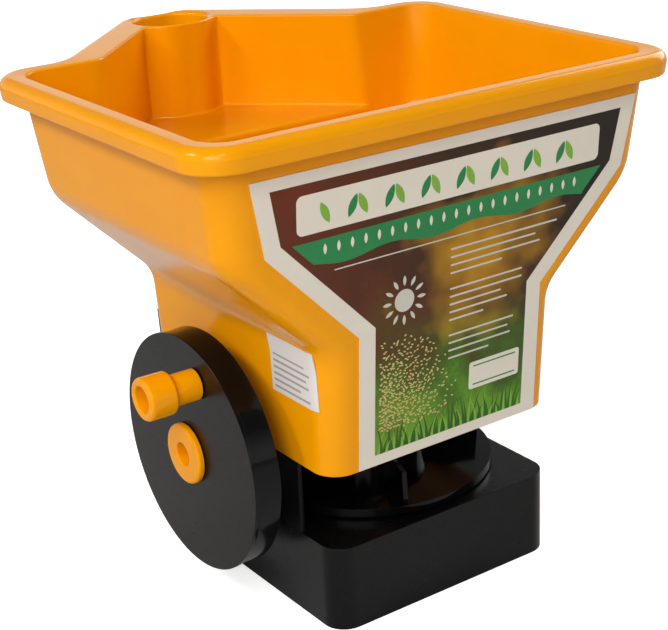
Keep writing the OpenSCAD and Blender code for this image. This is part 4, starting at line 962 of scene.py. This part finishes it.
wheel_profile += [(disc_back, skirt_in), (disc_back, hub_boss), (wheel_back, hub_boss), (wheel_back, bore_r),
                  (wheel_face, bore_r)]
crank_wheel = mesh_piece("crank_wheel_moulding", *turned(wheel_profile, wheel_y, wheel_z, 160))
knob_y, knob_z, peg_end, peg_r = -10.915, 98.501, -94.4, 4.0
peg = [(wheel_face + 1.0, 0.0), (wheel_face + 1.0, peg_r)]
peg += bend((wheel_face, peg_r), (peg_end, peg_r), (peg_end, 0.0), 0.4, 4) + [(peg_end, 0.0)]
cut(crank_wheel, mesh_piece("knob peg", *turned(peg, knob_y, knob_z, 48)), "UNION")
dress(crank_wheel, black_abs, "crank", "crank_wheel")
# The face comes satin from the tool, and the skirt, its second finish, polished
crank_wheel.data.materials.append(polished_abs)
for face in crank_wheel.data.polygons:
    from_axle = math.hypot(face.center.y * 1000 - wheel_y, face.center.z * 1000 - wheel_z)
    if from_axle > skirt_front - skirt_edge and abs(face.normal.x) < 0.7:
        face.material_index = 1
# Orange acetal: a plain dull gear plastic
coat("ring_gear", moulded_plastic("orange acetal, moulded", ("#dd8416", "#e38c1c"), 0.4, 0.3, 0.7))

# Crank knob: a stepped orange polypropylene sleeve that turns on the wheel's peg.
# A screw in its deep recess keeps it on.
stem_x, stem_r, head_r, stem_l, head_l, recess_r, sleeve_r = -80.6, 6.5, 8.9, 11.9, 12.2, 5.5, 4.06
step_x = stem_x - stem_l
knob_end = step_x - head_l
recess_x = step_x - 1.6
knob_profile = [(stem_x, sleeve_r), (stem_x, stem_r - 0.4), (stem_x - 0.4, stem_r)]
knob_profile += bend((stem_x, stem_r), (step_x, stem_r), (step_x, head_r), 0.7, 5)
knob_profile += bend((step_x, stem_r), (step_x, head_r), (knob_end, head_r), 1.5, 7)
knob_profile += bend((step_x, head_r), (knob_end, head_r), (knob_end, recess_r), 1.9, 8)
knob_profile += bend((knob_end, head_r), (knob_end, recess_r), (recess_x, recess_r), 0.9, 5)
knob_profile += bend((knob_end, recess_r), (recess_x, recess_r), (recess_x, sleeve_r), 0.4, 3)
knob_profile += [(recess_x, sleeve_r), (stem_x, sleeve_r)]
dress(mesh_piece("crank_knob_moulding", *turned(knob_profile, knob_y, knob_z, 80)), orange_pp,
      "knob", "crank_knob")
knob_screw_l, knob_screw_head_r, knob_screw_head_t = 9.0, 4.9, 2.2
dress(screw_set("knob_screw_steel", [(peg_end, knob_y, knob_z)], (0, 90, 0), knob_screw_l,
                knob_screw_head_r, knob_screw_head_t), None, "crank", "knob_screw")

# Studio: a pale paper floor in a white room, with a key soft box at the front left and a weaker one below it.
# Two small lamps give the rim its glints, and a soft box at the right lights the far side.
floor_half = 6
floor_corners = [(-floor_half, -floor_half, 0), (floor_half, -floor_half, 0),
                 (floor_half, floor_half, 0), (-floor_half, floor_half, 0)]
floor_mesh = bpy.data.meshes.new("studio_floor")
floor_mesh.from_pydata(floor_corners, [], [(0, 1, 2, 3)])
studio_floor = bpy.data.objects.new("studio_floor", floor_mesh)
bpy.context.collection.objects.link(studio_floor)
pale_paper, tree = empty_material("pale studio paper")
path = add_node(tree, "ShaderNodeLightPath").outputs
mirrored = add_node(tree, "ShaderNodeMath", {0: path["Is Glossy Ray"], 1: path["Is Transmission Ray"]},
                    operation="MAXIMUM").outputs[0]
mirrored = add_node(tree, "ShaderNodeMath", {0: mirrored, 1: 0.05}, operation="MULTIPLY").outputs[0]
# The paper is lit round the object, where it takes the shadow, and turns to plain white further out
place = add_node(tree, "ShaderNodeTexCoord").outputs["Object"]
far = add_node(tree, "ShaderNodeVectorMath", {0: place}, operation="LENGTH").outputs["Value"]
white = add_node(tree, "ShaderNodeMapRange", {"Value": far, "From Min": 0.4, "From Max": 1.4,
                                              "To Min": 0.72, "To Max": 1.0}).outputs["Result"]
lift = add_node(tree, "ShaderNodeMath", {0: path["Is Camera Ray"], 1: white, 2: mirrored},
                operation="MULTIPLY_ADD")
# Paper: matt, with fibres about 1 mm long
fibre = add_node(tree, "ShaderNodeTexNoise", {"Vector": place, "Scale": 1000.0, "Detail": 2.0})
tint = add_node(tree, "ShaderNodeValToRGB", {"Fac": fibre.outputs["Fac"]},
                [(0.3, "#dbdbd9"), (0.7, "#dededc")])
paper = add_node(tree, "ShaderNodeBsdfDiffuse", {"Color": tint.outputs["Color"]})
glow = add_node(tree, "ShaderNodeEmission", {"Color": (1, 1, 1, 1), "Strength": lift.outputs[0]})
both = add_node(tree, "ShaderNodeAddShader", {0: paper.outputs[0], 1: glow.outputs[0]})
add_node(tree, "ShaderNodeOutputMaterial", {"Surface": both.outputs[0]})
floor_mesh.materials.append(pale_paper)

world = bpy.data.worlds.new("soft studio")
bpy.context.scene.world = world
world.use_nodes = True
tree = world.node_tree
tree.nodes.clear()
path = add_node(tree, "ShaderNodeLightPath").outputs
seen = add_node(tree, "ShaderNodeMath", {0: path["Is Camera Ray"], 1: path["Is Glossy Ray"]},
                operation="MAXIMUM").outputs[0]
seen = add_node(tree, "ShaderNodeMath", {0: seen, 1: path["Is Transmission Ray"]},
                operation="MAXIMUM").outputs[0]
# The room is white low down, where its paper sweep rises, and darker overhead
ray = add_node(tree, "ShaderNodeTexCoord").outputs["Generated"]
ray_up = add_node(tree, "ShaderNodeSeparateXYZ", {0: ray}).outputs["Z"]
sweep = add_node(tree, "ShaderNodeMapRange", {"Value": ray_up, "From Min": 0.15, "From Max": 0.45,
                                              "To Min": 1.0, "To Max": 0.2}).outputs["Result"]
level = add_node(tree, "ShaderNodeMapRange", {"Value": seen, "To Min": 0.08, "To Max": sweep})
air = add_node(tree, "ShaderNodeBackground", {"Color": (1, 1, 1, 1), "Strength": level.outputs[0]})
add_node(tree, "ShaderNodeOutputWorld", {"Surface": air.outputs[0]})


object_middle = Vector((0, 0, 0.12))


def soft_box(name, place, width, height, power):
    """A rectangular lamp at a place, turned towards the object's middle."""
    lamp = bpy.data.lights.new(name, "AREA")
    lamp.shape = "RECTANGLE"
    lamp.size = width
    lamp.size_y = height
    lamp.energy = power
    holder = bpy.data.objects.new(name, lamp)
    holder.location = place
    holder.rotation_euler = (object_middle - Vector(place)).to_track_quat("-Z", "Y").to_euler()
    bpy.context.collection.objects.link(holder)


soft_box("key soft box", (-1.05, -0.92, 0.95), 0.8, 0.7, 13.2)
soft_box("fill soft box", (-0.9, -1.25, 0.5), 1.0, 0.8, 2.2)
soft_box("rear left lamp", (-1.14, 0.27, 1.2), 0.4, 0.28, 8.0)
soft_box("front lamp", (-0.44, -0.87, 1.39), 0.26, 0.18, 2.5)
soft_box("right soft box", (1.4, 0.2, 0.9), 1.0, 1.0, 15.0)

# Camera: at the photograph's place and lens, found from the object's own edges.
# The focal length and the picture's centre are in pixels of the photograph's frame.
azimuth, elevation, roll = math.radians(-35.55), math.radians(22.97), math.radians(-2.36)
focal_px, centre_x, centre_y, image_w, image_h = 1581.83, 379.1, 359.43, 668, 630
backward = Vector((math.sin(azimuth) * math.cos(elevation), -math.cos(azimuth) * math.cos(elevation),
                   math.sin(elevation)))
right = Vector((math.cos(azimuth), math.sin(azimuth), 0))
upward = backward.cross(right)
right, upward = (right * math.cos(roll) + upward * math.sin(roll),
                 upward * math.cos(roll) - right * math.sin(roll))
sensor_w, camera_place = 36, Vector((-0.35374, -0.51846, 0.34808))
lens = bpy.data.cameras.new("photo camera")
lens.sensor_width = sensor_w
lens.sensor_fit = "HORIZONTAL"
lens.lens = focal_px / image_w * sensor_w
lens.shift_x = (image_w / 2 - centre_x) / image_w
lens.shift_y = (centre_y - image_h / 2) / image_w
lens.clip_start = 0.01
camera = bpy.data.objects.new("photo camera", lens)
placing = Matrix((right, upward, backward)).transposed().to_4x4()
placing.translation = camera_place
camera.matrix_world = placing
bpy.context.collection.objects.link(camera)
bpy.context.scene.camera = camera
bpy.context.scene.view_settings.view_transform = "Standard"
